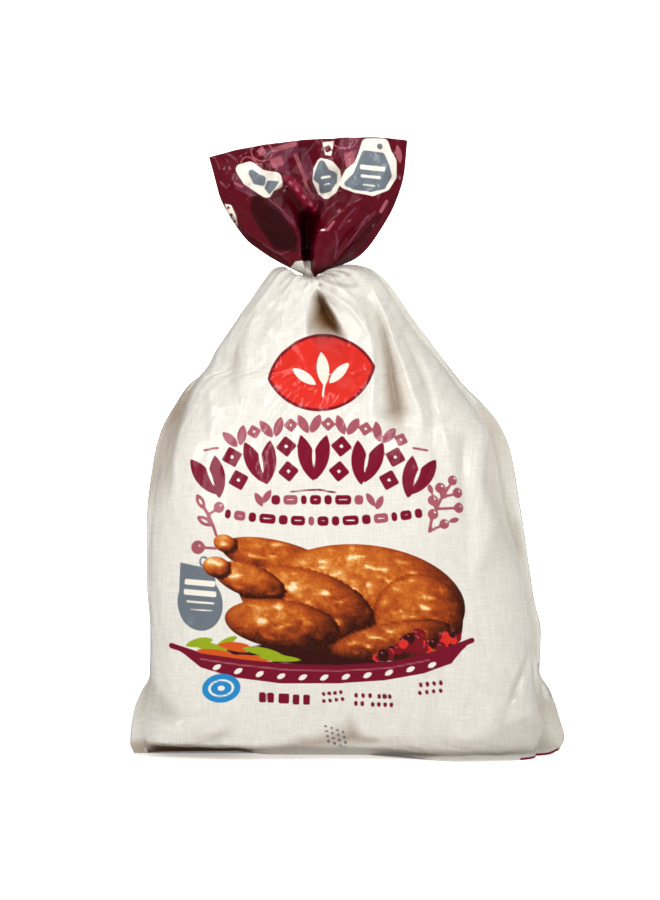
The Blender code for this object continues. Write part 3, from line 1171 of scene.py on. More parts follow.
# Crease lines of the front as (x, z, how far the film stands out), in the seams' plane
FRONT_CREASES = (
    ((-20.4, 376.8, 3), (-11.6, 373.6, 7), (0.4, 368.8, 8), (6, 364.8, 6)),
    ((-21.2, 374.4, -3), (-11.6, 370.4, 1), (-4.4, 366.4, 4), (2.8, 360.8, 6)),
    ((-23.6, 372, 1), (-14, 368, 6), (-3.6, 360, 9), (5.2, 352.8, 10), (11.6, 344.8, 9), (16.4, 336.8, 8)),
    ((-14.8, 363.2, -6), (-6.8, 357.6, -1), (-0.4, 354.4, 3), (6, 348.8, 5), (10.8, 340.8, 5)),
    ((-17.2, 364.8, -4), (-13.2, 358.4, 2), (-7.6, 348.8, 3), (-3.6, 341.6, 2), (1.2, 335.2, 0)),
    ((-19.6, 364, -15), (-15.6, 356, -21), (-10.8, 347.2, -22), (-7.6, 340.8, -16), (-3.6, 334.4, -6),
     (-0.4, 326.4, -2)),
    ((-22, 360, -11), (-20.4, 352.8, -15), (-15.6, 344.8, -16), (-13.2, 337.6, -10), (-10.8, 330.4, -4)),
    ((-26.8, 354.4, -6), (-26.8, 343.2, -9), (-22.8, 335.2, -7), (-16.4, 327.2, -3)),
    ((-28.4, 365.6, 0), (-31.6, 356.8, 1.5), (-33.2, 345.6, 1.5), (-30.8, 332.8, 0), (-22.8, 323.2, -1)),
    ((-33.2, 371.2, 2), (-38.8, 359.2, 2.5), (-41.2, 343.2, 2), (-38.8, 326.4, 1), (-32.4, 313.6, 0)),
    ((-2.8, 318.4, -2), (2, 305.6, 0)),
    ((-67.6, 342.4, 0), (-61.2, 340, 2.6), (-50.8, 335.2, 3), (-42.8, 331.2, 1)),
    ((-64.4, 336, 0), (-53.2, 330.4, 0.2), (-44.4, 325.6, -0.5)),
    ((4.4, 368, 4), (10, 356.8, 7), (15.6, 346.4, 9), (19.6, 334.4, 9), (22, 321.6, 8), (22.8, 305.6, 7),
     (22, 287.2, 6),
     (21.2, 268, 3), (19.6, 249.6, 0)),
    ((14, 368, 1), (23.6, 352.8, -3), (30, 334.4, -7), (34, 316.8, -9), (37.2, 295.2, -11), (40.4, 275.2, -12),
     (42, 264, -4), (42.8, 249.6, 0)),
    ((20.4, 372.8, 3), (30, 353.6, 5), (36.4, 336, 6), (42.8, 318.4, 7), (48.4, 301.6, 7), (54, 285.6, 6.5),
     (58.8, 274.4, 5.5),
     (61.2, 260.8, 4), (60.4, 242.4, 1.5), (58.8, 227.2, 0)),
    ((33.2, 359.2, 0), (44.4, 337.6, -1.5), (54, 316.8, -3), (62, 295.2, -4), (67.6, 275.2, -2.5),
     (70, 259.2, 0)),
    ((58.8, 327.2, 1), (66, 305.6, 2.5), (70, 286.4, 3), (72.4, 273.6, 1)),
    ((-112.4, 289.6, 2.5), (-109.2, 275.2, 3.4), (-108.4, 259.2, 2.4), (-110, 246.4, 0)),
    ((-114.8, 288, 0), (-112.4, 273.6, 0.4), (-111.6, 259.2, 0)),
    ((-85.2, 292.8, 1.5), (-83.6, 283.2, 3), (-82.8, 272, 0)),
    ((15.6, 313.6, 5.5), (18, 296, 6), (18, 280, 5.5)),
    ((74.8, 271.2, 0.5), (77.2, 261.6, 3), (81.2, 243.2, 3.5), (84.4, 220, 1.5), (86, 203.2, 0)),
    ((69.2, 251.2, -1), (72.4, 233.6, -1.5), (75.6, 215.2, -0.5)),
    ((-91.6, 337.6, 0), (-102, 322.4, 2.5), (-106.8, 306.4, 5.5), (-109.2, 294.4, 6), (-108.4, 284.8, 5),
     (-105.2, 277.6, 4), (-98.8, 272, 2),
     (-88.4, 267.2, 0)),
    ((-75.6, 348.8, 0), (-85.2, 331.2, -3), (-89.2, 318.4, -4.5), (-90.8, 305.6, -4), (-89.2, 291.2, -1.5),
     (-85.2, 280, 0)),
    ((-67.6, 363.2, 2.5), (-75.6, 345.6, 3), (-79.6, 327.2, 3), (-79.6, 308.8, 1.5), (-77.2, 289.6, 0)),
    ((-113.2, 307.2, 3), (-122, 290.4, 3), (-132.4, 260.8, 3), (-137.2, 236, 2.5), (-140.4, 203.2, 0.5)),
    ((-114.8, 308.8, -6), (-124.4, 292, -8), (-134.8, 261.6, -8), (-139.6, 236.8, -6), (-142.8, 201.6, -1)),
    ((-132.4, 287.2, -11), (-136.4, 281.6, -9)),
    ((84.4, 302.4, 2), (98, 280, 3.5), (110, 257.6, 4), (108.4, 239.2, 4.5), (106.8, 220, 4.5),
     (110.8, 203.2, 4.5), (116.4, 187.2, 4),
     (113.2, 167.2, 3.5), (106, 151.2, 2), (98.8, 136, 0)),
    ((87.6, 303.2, -2), (102, 280.8, -3), (114.8, 258.4, -3.5), (113.2, 239.2, -3), (111.6, 220, -3.5),
     (116.4, 203.2, -3.5),
     (122, 186.4, -3), (118, 166.4, -2.5), (110.8, 149.6, -1.5)),
    ((92.4, 251.2, -2.5), (91.6, 227.2, -3), (94, 203.2, -2), (97.2, 179.2, -1)),
    ((134.8, 203.2, 0), (138, 185.6, 4), (142, 167.2, 4), (144.4, 153.6, 1)),
    ((129.2, 187.2, -2), (133.2, 167.2, -3), (137.2, 147.2, -1)),
    ((154.8, 84.8, 3), (147.6, 66.4, 4.5), (140.4, 47.2, 4), (134, 28.8, 1)),
    ((146.8, 84.8, -1), (141.2, 68.8, -4), (133.2, 49.6, -4.5), (126.8, 33.6, -1)),
    ((162, 73.6, -3), (158.8, 51.2, -5), (154.8, 27.2, -2)),
    ((-155.6, 91.2, 0), (-153.2, 73.6, 3), (-146, 57.6, 3), (-134.8, 43.2, 1.5), (-121.2, 33.6, 0)),
    ((-160.4, 75.2, -2), (-157.2, 56, -4), (-149.2, 43.2, -4), (-138, 33.6, -2)),
    ((-170, 36.8, 2), (-158.8, 34.4, -1), (-148.4, 32, -3.5), (-134.8, 29.6, -2), (-117.2, 30.4, 0)),
    ((-168.4, 25.6, 2), (-155.6, 25.6, 3), (-136.4, 21.6, 3), (-113.2, 20, 2), (-93.2, 21.6, 0)),
    ((-131.6, 15.2, -1), (-128.4, 25.6, 0)),
    ((-99.6, 12.8, -4), (-96.4, 22.4, -1), (-94.8, 33.6, 0)),
    ((-85.2, 14.4, 3), (-79.6, 24, 2), (-72.4, 36.8, 0)),
    ((-37.2, 14.4, 1), (-19.6, 20.8, 2.5), (-5.2, 30.4, 1.5), (4.4, 41.6, 0)),
    ((6, 12.8, -9), (4.4, 20.8, -5), (2.8, 30.4, -1.5)),
    ((20.4, 12.8, 2), (36.4, 18.4, 3), (58.8, 21.6, 2.5), (82.8, 25.6, 0)),
    ((41.2, 9.6, -3), (66.8, 12, -2), (92.4, 12.8, 0)),
    ((98.8, 11.2, 3), (116.4, 25.6, 3.5), (128.4, 43.2, 2), (135.6, 62.4, 0)),
    ((110, 9.6, -2), (124.4, 18.4, -3), (138.8, 25.6, -3), (150, 30.4, -1)),
)

# Crease lines of the collar's front
COLLAR_CREASES = (
    ((-110, 477.6, 0), (-106, 459.2, 0), (-99.6, 440.8, -2), (-91.6, 428.8, -4), (-77.2, 413.6, -6),
     (-57.2, 400, -5), (-39.6, 388.8, 0)),
    ((46.8, 488.8, 0), (45.2, 471.2, 0), (39.6, 448.8, 1), (31.6, 429.6, 1), (15.6, 408, -1), (2.8, 395.2, -3),
     (-12.4, 385.6, 0)),
    ((-99.6, 481.6, 3), (-95.6, 465.6, 4), (-91.6, 449.6, 7)),
    ((-89.2, 485.6, 6), (-85.2, 467.2, 8), (-82.8, 452.8, 12), (-80.4, 443.2, 15)),
    ((-86, 436.8, 12), (-76.4, 443.2, 20), (-70.8, 445.6, 24), (-62.8, 441.6, 27), (-52.4, 433.6, 26),
     (-41.2, 422.4, 22), (-37.2, 414.4, 18),
     (-36.4, 397.6, 9), (-32.4, 384.8, 5)),
    ((-94, 430.4, 2), (-84.4, 420, 3), (-73.2, 412.8, 3)),
    ((-77.2, 432.8, 13), (-71.6, 419.2, 5), (-63.6, 406.4, 2), (-56.4, 401.6, 2), (-50.8, 400, 3),
     (-43.6, 403.2, 7), (-38.8, 396, 6)),
    ((-67.6, 425.6, 14), (-56.4, 417.6, 12), (-46, 408.8, 10)),
    ((-77.2, 484.8, 3), (-74.8, 471.2, 10), (-70.8, 459.2, 10), (-62.8, 449.6, 20)),
    ((-65.2, 487.2, 7), (-61.2, 475.2, 5), (-56.4, 462.4, 13), (-50.8, 454.4, 14), (-43.6, 443.2, 12),
     (-36.4, 432, 7), (-34.8, 420.8, -6),
     (-34, 408, -9), (-32.4, 396, -5)),
    ((-51.6, 489.6, 2), (-47.6, 476.8, 10), (-45.2, 465.6, 8), (-36.4, 451.2, 17), (-28.4, 438.4, 13),
     (-26, 433.6, 6)),
    ((-37.2, 491.2, 4), (-35.6, 476.8, -2), (-30.8, 460.8, 5), (-27.6, 449.6, 2), (-22.8, 439.2, 2)),
    ((-30, 428.8, -8), (-30.8, 414.4, -12), (-30, 400, -7), (-27.6, 385.6, 2)),
    ((-22.8, 492.8, 0), (-20.4, 478.4, 6), (-18.8, 462.4, 9), (-19.6, 448, 4), (-17.2, 436.8, 8)),
    ((-12.4, 492.8, -3), (-10, 480, 2), (-8.4, 464, -1), (-9.2, 449.6, 4)),
    ((-24.4, 388.8, 8), (-26, 403.2, 17), (-22.8, 412.8, 26), (-16.4, 420, 26), (-10.8, 427.2, 24),
     (-0.4, 436, 19), (12.4, 444, 14),
     (25.2, 450.4, 10)),
    ((-26.8, 409.6, 9), (-25.2, 420.8, 14), (-18.8, 428.8, 17), (-9.2, 436, 14)),
    ((-1.2, 493.6, 6), (0.4, 479.2, 3), (-1.2, 463.2, 9), (2.8, 449.6, 9)),
    ((10.8, 493.6, 3), (12.4, 476.8, 8), (17.2, 460.8, 6)),
    ((22.8, 492.8, 7), (25.2, 478.4, 5), (30, 464, 9), (27.6, 454.4, 8)),
    ((35.6, 491.2, 2), (37.2, 475.2, 5), (36.4, 460.8, 3)),
    ((-20.4, 386.4, 5), (-15.6, 400, 14), (-7.6, 412, 19), (2.8, 423.2, 17), (15.6, 436, 13), (30, 446.4, 8)),
    ((-18, 386.4, 3), (-10.8, 399.2, 8), (-0.4, 411.2, 11), (10.8, 422.4, 10), (22, 434.4, 8)),
    ((-15.6, 386.4, 3.5), (-6, 400, 10), (6, 412.8, 13), (18, 425.6, 11), (30.8, 439.2, 6)),
    ((-13.2, 387.2, 1.5), (-2, 400, 4.5), (10.8, 412, 5.5), (23.6, 425.6, 4.5)),
    ((-10.8, 388.8, 2), (2.8, 401.6, 6), (15.6, 413.6, 5.5), (27.6, 428, 4)),
)
# Highlights painted along the collar's sharp creases, as pale lines
PAINTED_CREASE_HIGHLIGHTS = (
    ((-62.8, 442.4), (-51.6, 433.6), (-41.2, 424), (-36.4, 416), (-36.4, 397.6)),
    ((-66, 407.2), (-58, 401.6), (-51.6, 399.2), (-43.6, 403.2)),
    ((-9.2, 396), (-6.8, 408), (-8.4, 416)),
    ((-20.4, 427.2), (-14.8, 435.2), (-6.8, 441.6)),
    ((-6, 418.4), (-0.4, 427.2), (6.8, 435.2)),
    ((1.2, 405.6), (9.2, 417.6), (17.2, 430.4)),
)
# Shade painted on the collar where its film turns away from the light into its folds: corners and how deep
COLLAR_SHADES = (
    (((-74, 448), (-63.6, 443.2), (-52.4, 433.6), (-45.2, 422.4), (-38, 410.4), (-40.4, 400.8), (-50, 401.6),
      (-58, 403.2), (-62.8, 410.4),
      (-68.4, 418.4), (-73.2, 425.6), (-77.2, 435.2)), 0.86),
    (((-71.6, 430.4), (-59.6, 436.8), (-50, 426.4), (-42, 419.2), (-38, 410.4), (-42, 401.6), (-52.4, 402.4),
      (-62.8, 411.2)), 0.95),
    (((-66, 419.2), (-50, 415.2), (-39.6, 409.6), (-44.4, 403.2), (-59.6, 407.2)), 1.0),
    (((-36.4, 436.8), (-30, 432.8), (-33.2, 420.8), (-30.8, 407.2), (-29.2, 396.8), (-35.6, 396),
      (-35.6, 411.2), (-38, 422.4)), 1.0),
    (((-61.2, 444.8), (-50, 457.6), (-37.2, 441.6), (-32.4, 430.4), (-38, 424), (-46.8, 433.6)), 0.6),
    (((-10.8, 392), (4.4, 410.4), (20.4, 428.8), (30.8, 433.6), (17.2, 408.8), (1.2, 392)), 0.55),
    (((-96.4, 433.6), (-85.2, 422.4), (-67.6, 408.8), (-50, 396.8), (-40.4, 388.8), (-61.2, 396.8),
      (-85.2, 412.8)), 0.5),
    (((-22.8, 439.2), (-16.4, 440.8), (-19.6, 432.8), (-21.2, 423.2), (-26, 411.2), (-28.4, 423.2)), 0.7),
)
COLLAR_BACK_CREASES = (
    ((-37.2, 387.2, 3), (-56.4, 411.2, 14), (-77.2, 439.2, 8), (-88.4, 475.2, -3)),
    ((-32.4, 387.2, -2), (-46.8, 415.2, 4), (-62.8, 443.2, -6), (-70.8, 481.6, -8)),
    ((-27.6, 388.8, 4), (-34.8, 419.2, 13), (-40.4, 451.2, 9), (-45.2, 484.8, 2)),
    ((-24.4, 388.8, -3), (-22.8, 419.2, -2), (-19.6, 451.2, -8), (-17.2, 487.2, -7)),
    ((-21.2, 388.8, 4), (-6.8, 417.6, 14), (6.8, 447.2, 8), (12.4, 484.8, 2)),
    ((-16.4, 387.2, -1), (4.4, 411.2, 4), (26.8, 439.2, -4), (33.2, 483.2, -5)),
)


FRONT_ANCHORS = ((-190, -20), (190, -20), (-190, 160), (190, 160), (-190, 330), (190, 330), (-100, 395),
                 (60, 395),
                 (-60, 130), (0, 130), (60, 110), (-110, 120), (-60, 60), (0, 50), (60, 60), (-60, 220),
                 (-10, 215),
                 (-60, 300), (-60, 355))
COLLAR_ANCHORS = ((-125, 380), (60, 380), (-125, 500), (60, 500))


@dataclass(frozen=True)
class BodyFilm:
    """The film round the bird, from the foot over the shoulders to the neck.

    Attributes:
        plan: how the columns are shared out.
        under_rows: rings under the foot.
        lowest: heights of the lowest rings, close together over the hem.
        side_rows: rings above them, up to where the shoulders begin.
        shoulder_rows: rings of the shoulders.
        neck_rows: rings of the neck.
    """

    plan: RingPlan = RingPlan(front=252, back=72)
    under_rows: int = 4
    lowest: tuple[float, ...] = (0, 0.8, 1.8, 3, 4.4, 6, 7.6, 9.2, 10.6, 11.8, 12.8, 13.8, 15, 16.4, 18)
    side_rows: int = 226
    shoulder_rows: int = 44
    neck_rows: int = 3

    def ring(self, height: float) -> tuple[Array, Array]:
        """The ring of the body at a height.

        Args:
            height: millimetres above the floor.

        Returns:
            x and y of its points.
        """
        left, right = curve(LEFT_EDGE, height), curve(RIGHT_EDGE, height)
        left_bulk, right_bulk = curve(LEFT_BULK, height), curve(RIGHT_BULK, height)
        power = curve(SQUARENESS, height)
        seam = 1 - smooth_step(SEAM_HEIGHT / 2, SEAM_HEIGHT, height)
        turned = 1 - smooth_step(0, TURN_HEIGHT, height)
        (left_start, left_end), (right_start, right_end) = HEM_ENDS

        def wall(x: Array, depth: float) -> Array:
            """How far a wall stands from the seams' plane.

            Args:
                x: across the bag.
                depth: the wall's depth at its middle.

            Returns:
                The distances.
            """
            across = np.clip(np.abs((2 * x - left_bulk - right_bulk) / (right_bulk - left_bulk)), 0, 1)
            bulk = depth * (1 - across**power) ** (1 / power)
            fin = FIN_THICKNESS / 2 * (1 - np.abs((2 * x - left - right) / (right - left)) ** 12)
            return np.sqrt(bulk**2 + fin**2)

        def front(x: Array) -> Array:
            """Depth of the front wall, with its turned lower edge and its hem.

            Args:
                x: across the bag.

            Returns:
                y of the points.
            """
            under = 1 - turned * curve(TURNED_UNDER, x)
            hem = HEM_STEP * (1 - smooth_step(*HEM_FADE, height)) * smooth_step(left_start, left_end, x)
            hem = hem * (1 - smooth_step(right_start, right_end, x))
            return -wall(x, curve(FRONT_DEPTH, height)) * under + hem - seam * curve(SEAM_REACH, x)

        return self.plan.ring(left, right, front, lambda x: wall(x, curve(BACK_DEPTH, height)))

    def base_rows(self) -> Array:
        """The body before it is creased.

        Returns:
            Points as (row, column, xyz) in millimetres.
        """
        rings = []
        x, y = self.ring(0)
        for share in np.linspace(0, 1, self.under_rows + 1)[1:-1]:
            rings.append((x * share, y * share, np.zeros(len(x))))
        for height in (*self.lowest, *np.linspace(self.lowest[-1], SIDE_TOP, self.side_rows + 1)[1:]):
            x, y = self.ring(height)
            lift = CORNER_LIFT * smooth_step(CORNER_START, CORNER_END, x) * (1 - smooth_step(0, 30, height))
            rings.append((x, y, np.full(len(x), float(height)) + lift))
        angle = np.arctan2(y, (x - NECK_X) / TOP_ASPECT)
        for share in np.linspace(0, 1, self.shoulder_rows + 1)[1:]:
            pull = smooth_step(PULL_START, 1, share)
            ring_x = NECK_X + (x - NECK_X) * (1 - share * (1 - NECK_RADIUS / TOP_HALF_WIDTH))
            ring_y = y * (1 - share * (1 - NECK_RADIUS / TOP_HALF_DEPTH))
            ring_x += pull * (NECK_X + NECK_RADIUS * np.cos(angle) - ring_x)
            ring_y += pull * (NECK_RADIUS * np.sin(angle) - ring_y)
            ring_x += SHOULDER_SHIFT * math.sin(math.pi * share)
            side = np.cos(angle) ** 2
            rise = np.where(angle**2 < 2.5, curve(RISE_AT_SIDES, share), curve(RISE_AT_LEFT, share))
            rise = side * rise + (1 - side) * curve(RISE_IN_FRONT, share)
            rings.append((ring_x, ring_y, SIDE_TOP + rise))
        for share in np.linspace(0, 1, self.neck_rows + 1)[1:]:
            radius = NECK_RADIUS * (1 - 0.35 * share)
            rings.append((NECK_X + radius * np.cos(angle), radius * np.sin(angle),
                          np.full(len(x), NECK_FOOT + 2 * share)))
        return np.array([np.stack(ring, axis=1) for ring in rings])

    def gathers(self, rows: Array, up: Array) -> Array:
        """Pleats that spread from the neck, fewer and larger further down.

        Args:
            rows: the body's points.
            up: film length up each column.

        Returns:
            How far they stand out.
        """
        distance = up[-1] - up
        turn = np.broadcast_to(np.linspace(0, 1, rows.shape[1], endpoint=False), distance.shape)
        out = np.zeros(distance.shape)
        for size in GATHERS:
            bend = 0.35 * noise(turn * 9, distance / 50, size.seed + 10)
            window = smooth_step(0, size.near, distance) * (1 - smooth_step(size.far * 0.35, size.far,
                                                                            distance))
            out += size.height * window * ridges(turn * size.count + bend, distance / (3 * size.far), size.seed)
        return out

    def wrinkles(self, across: Array, up: Array, rows: Array) -> Array:
        """The small wrinkles of taut film.

        Args:
            across: film length round.
            up: film length up.
            rows: the body's points.

        Returns:
            How far they stand out.
        """
        high = smooth_step(150, 350, rows[..., 2])
        out = (TAUT_HEIGHT + TAUT_RISE * high) * TAUT_WRINKLE.relief(across, up)
        for wrinkle in BODY_WRINKLES:
            out += wrinkle.relief(across, up)
        out += BODY_SWELL * noise(across / BODY_SWELL_LENGTH, up / BODY_SWELL_LENGTH, 54)
        out += (1 - smooth_step(10, 70, rows[..., 2])) * FOOT_WRINKLE.relief(across, up)
        return out

    def skin(self) -> Skin:
        """Makes the body's film with its print.

        Returns:
            The skin.
        """
        smooth = self.base_rows()
        around, up = film_lengths(smooth)
        up -= up[self.under_rows - 1]
        plane_x, plane_z = in_photo(smooth)
        front = np.arange(smooth.shape[1]) < self.plan.front
        thin = 1 - smooth_step(2, 16, np.abs(smooth[..., 1]))
        neck = smooth_step(4, 16, up[-1] - up)
        relief = self.gathers(smooth, up) + self.wrinkles(around, up, smooth) * neck * (1 - 0.8 * thin)
        creased = blurred(facets(FRONT_CREASES, FRONT_ANCHORS, plane_x, plane_z), 2)
        rows = self.folded(smooth, relief, creased * np.where(front, 1.0, thin) * neck)
        art = Artwork(self.print_across(rows, plane_x), plane_z)
        FrontPrint(art).draw()
        reverse = Artwork(-rows[..., 0], rows[..., 2])
        BackPrint(reverse).draw()
        inks = {ink: np.where(front, art.inks[ink], reverse.inks[ink]) for ink in Ink}
        lift = CORNER_LIFT * smooth_step(CORNER_START, CORNER_END, rows[..., 0])
        edge_print = np.minimum(EDGE_PRINT_HEIGHT + lift - rows[..., 2], rows[..., 0] - EDGE_PRINT_LEFT)
        inks[Ink.BURGUNDY] = np.maximum(inks[Ink.BURGUNDY], np.where(front, edge_print, -FAR))
        across = np.where(front, art.across, 2 * RIGHT_EDGE[1][1] - plane_x)
        # Painted shade: darker colour deep in creases and folds, and on the hem strip along the foot
        painted_shade = self.painted_shades(rows, relief, creased * front, front) * (smooth[..., 2] > 0)
        rows[..., 1] += DEPTH_SHIFT
        return Skin("film_body", rows, across, plane_z, inks, art.tone, np.zeros(plane_x.shape), painted_shade)

    @staticmethod
    def folded(smooth: Array, relief: Array, creased: Array) -> Array:
        """The body's points once they are wrinkled and creased.

        Args:
            smooth: the points before.
            relief: how far gathers and wrinkles stand out.
            creased: how far creases come forward.

        Returns:
            The points after.
        """
        beside = np.minimum(smooth[..., 0] - curve(LEFT_EDGE, smooth[..., 2]),
                            curve(RIGHT_EDGE, smooth[..., 2]) - smooth[..., 0])
        edge = np.where(smooth[..., 2] > SIDE_TOP, 1.0, smooth_step(0, 5, beside))
        relief = relief * smooth_step(0, FLOOR_FADE, smooth[..., 2]) * edge
        rows = smooth + normals_of(smooth) * relief[..., None]
        rows[..., 1] -= creased * smooth_step(0, FLOOR_FADE, rows[..., 2])
        rows[..., 2] = np.maximum(rows[..., 2], 0.0)
        return rows

    @staticmethod
    def painted_shades(rows: Array, relief: Array, creased: Array, front: Array) -> Array:
        """Shade painted into the film's colour, deep in folds and creases and along the hem at the foot.

        Args:
            rows: the body's points.
            relief: how far gathers and wrinkles stand out.
            creased: how far creases come forward, on the front alone.
            front: which columns are the front's.

        Returns:
            Values from 0 to 1.
        """
        deep = np.clip(-creased / 15, 0, 1) ** 1.1 + np.clip((blurred(relief, 24) - relief) / 6, 0, 1)
        under = 1 - smooth_step(HEM_SHADE_FOOT, TURN_HEIGHT, rows[..., 2])
        return np.clip(np.maximum(deep, curve(HEM_SHADE, rows[..., 0]) * under * front), 0, 1)

    def print_across(self, rows: Array, plane_x: Array) -> Array:
        """Where the film lies across the print, so that the print is squeezed where the film is folded.

        Args:
            rows: creased points.
            plane_x: where the smooth film shows across the photograph.

        Returns:
            Millimetres from the middle of the print.
        """
        run = np.diff(rows[..., 0], axis=1)
        plain = np.hypot(run, np.diff(blurred(rows[..., 1], 40), axis=1))
        extra = np.clip(np.hypot(run, np.diff(rows[..., 1], axis=1)) - plain, 0, None)
        total = np.concatenate([np.zeros((len(rows), 1)), np.cumsum(extra, axis=1)], axis=1)
        middle = np.argmin(np.abs(plane_x[:, :self.plan.front] - PRINT_MIDDLE_X), axis=1)
        return plane_x + total - total[np.arange(len(rows)), middle][:, None]


# Patches of sheen painted on the collar, paler than its burgundy
COLLAR_SHEEN_PATCHES = (
    ((-64.4, 484), (-38.8, 491.2), (-37.2, 481.6), (-46.8, 475.2), (-44.4, 461.6), (-56.4, 465.6)),
    ((-37.2, 484.8), (-31.6, 485.6), (-22.8, 459.2), (-17.2, 441.6), (-24.4, 443.2), (-33.2, 465.6)),
    ((-5.2, 492), (14, 492.8), (7.6, 476.8), (-2, 470.4), (-6.8, 481.6)),
    ((-91.6, 462.4), (-82, 457.6), (-70.8, 448), (-74, 443.2), (-88.4, 451.2)),
    ((-67.6, 440.8), (-61.2, 441.6), (-45.2, 428.8), (-38, 417.6), (-43.6, 422.4), (-54.8, 432)),
)
# The collar's grey tags: pale shape and grey field
COLLAR_TAGS = (
    (((15.6, 492.8), (32.4, 492.8), (35.6, 483.2), (40.4, 475.2), (40.4, 460.8), (34, 450.4), (21.2, 444.8),
      (4.4, 448),
      (-6.8, 452.8), (-2, 462.4), (7.6, 470.4), (12.4, 481.6)),
     ((14, 482.4), (30, 480.8), (34, 471.2), (36.4, 462.4), (30.8, 452), (18.8, 448.8), (5.2, 451.2),
      (-2, 454.4),
      (6, 462.4))),
    (((-21.2, 477.6), (-12.4, 475.2), (-6, 468), (-4.4, 458.4), (-9.2, 447.2), (-16.4, 441.6), (-20.4, 445.6),
      (-26, 457.6),
      (-25.2, 469.6)),
     ((-20.4, 475.2), (-23.6, 468), (-26, 460), (-20.4, 456), (-19.6, 447.2), (-13.2, 448.8), (-7.6, 456.8),
      (-7.6, 464),
      (-14.8, 466.4))),
    (((-90.8, 471.2), (-81.2, 473.6), (-67.6, 464), (-50.8, 460.8), (-49.2, 453.6), (-58, 449.6),
      (-61.2, 442.4), (-72.4, 450.4),
      (-82.8, 457.6)),
     ((-78.8, 467.2), (-70, 461.6), (-64.4, 459.2), (-65.2, 453.6), (-73.2, 455.2))),
)
# Outline of the burgundy, with the pale film that shows at the neck cut out of it
COLLAR_GROUND = ((-181.2, 399.2), (-45.2, 388.8), (-40.4, 393.6), (-28.4, 394.4), (-28.4, 386.4), (-24.4, 380),
                 (-19.6, 378.4), (2.8, 382.4), (122.8, 387.2), (122.8, 531.2), (-181.2, 531.2))


@dataclass
class CollarPrint:
    """The collar's print: burgundy from the neck up, with rose rings and bars, and grey tags.

    Attributes:
        art: the artwork in collar coordinates.
    """

    art: Artwork

    def draw(self) -> None:
        """Draws the whole collar."""
        self.ground()
        self.ornaments()
        self.tags()
        self.creases()
        self.details()

    def ground(self) -> None:
        """The burgundy, a brighter strip in the middle, and patches of painted sheen."""
        art = self.art
        art.paint(Ink.WINE, art.outline(COLLAR_GROUND))
        art.paint(Ink.BURGUNDY, art.outline(((-52.4, 461.6), (-44.4, 462.4), (-21.2, 437.6), (-25.2, 430.4))))
        # Painted sheen: pale patches over the burgundy
        art.paint_all(Ink.PAINTED_SHEEN, art.outline, ((corners,) for corners in COLLAR_SHEEN_PATCHES))

    def ornaments(self) -> None:
        """Rose rings, a leaf and bars."""
        art = self.art
        art.paint_all(Ink.ROSE, art.ring, (((-67.6, 481.6), 18, 17, 0, 1.3), ((-1.2, 489.6), 20, 12, 0, 1.3),
                                           ((-77.2, 467.2), 15, 22, 20, 1.3)))
        art.paint(Ink.ROSE, art.leaf((42, 480), 15, 5, 100))
        art.paint_all(Ink.ROSE, art.bar, (
            ((-67.6, 481.6), 6, 6, 45, 0.6), ((-49.2, 485.6), 20, 4, 18, 0.8), ((-55.6, 472.8), 10, 8, 20, 0.8),
            ((-36.4, 468.8), 3.4, 24, 22, 0.8), ((-30, 451.2), 2.6, 18, 28, 0.8), ((2.8, 475.2), 8, 12, 10,
                                                                                   0.8),
            ((30, 437.6), 2.6, 12, -30, 0.8), ((-86, 454.4), 9, 2.2, -30, 0.8)))
        art.paint_all(Ink.ROSE, art.bar, (((-44.5 + 5.4 * k, 455.5 - 5.6 * k), 3.6, 2.4, -46,
                                           0.6) for k in range(4)))

    def tags(self) -> None:
        """Grey tags with a pale edge."""
        art = self.art
        for pale, grey in COLLAR_TAGS:
            art.paint(Ink.CREAM, art.rounded(pale, 5.0))
            art.paint(Ink.GREY, art.rounded(grey, 2.5))
        art.paint(Ink.GREY, art.outline(((-62.8, 457.6), (-53.2, 456.8), (-56.4, 451.2), (-61.2, 445.6),
                                         (-65.2, 451.2))))

    def creases(self) -> None:
        """Painted highlights: pale lines along the sharp creases, and pale glints on the right lobe."""
        art = self.art
        # Painted highlights along the sharp creases
        art.paint_all(Ink.PAINTED_SHEEN, art.stroke, ((crease, 1.6) for crease in PAINTED_CREASE_HIGHLIGHTS))
        # Painted glints on the right lobe, in rose and cream
        art.paint(Ink.ROSE, art.stroke(((-20.4, 416.8), (-14.8, 417.6), (-10, 424)), 2.2))
        art.paint(Ink.CREAM, art.oval((-18.8, 417.2), 5.0, 2.4, 4))
        art.paint(Ink.ROSE, art.oval((-6, 432.8), 2.6, 4.4, -30))

    def details(self) -> None:
        """The tags' hole and bars, and two small pale labels."""
        art = self.art
        art.paint(Ink.GREY, art.oval((26.8, 485.6), 4.6, 4.6))
        art.paint(Ink.CREAM, art.outline(((-19.6, 489.6), (-9.2, 491.2), (-11.6, 477.6), (-17.2, 478.4))))
        art.paint(Ink.WINE, art.bar((-14.8, 484), 5, 5, 30, 0.6))
        art.paint(Ink.CREAM, art.outline(((-98, 440.8), (-91.6, 439.2), (-87.6, 430.4), (-86, 420.8),
                                          (-91.6, 425.6),
                                          (-95.6, 433.6))))
        art.paint_all(Ink.BURGUNDY, art.bar, (((-94.5 + 2.4 * k, 437 - 5.5 * k), 2.2, 2.2, 45,
                                               0.4) for k in range(3)))
        art.paint_all(Ink.CREAM, art.bar, (((21, 468), 21, 4.6, -6, 1), ((19.5, 461), 17, 3.2, -6, 1),
                                           ((18, 454), 11, 2.2, -6, 1), ((-16.4, 460.8), 9, 2.8, 12, 1),
                                           ((-15.6, 455.2), 6, 2.0, 12, 1)))


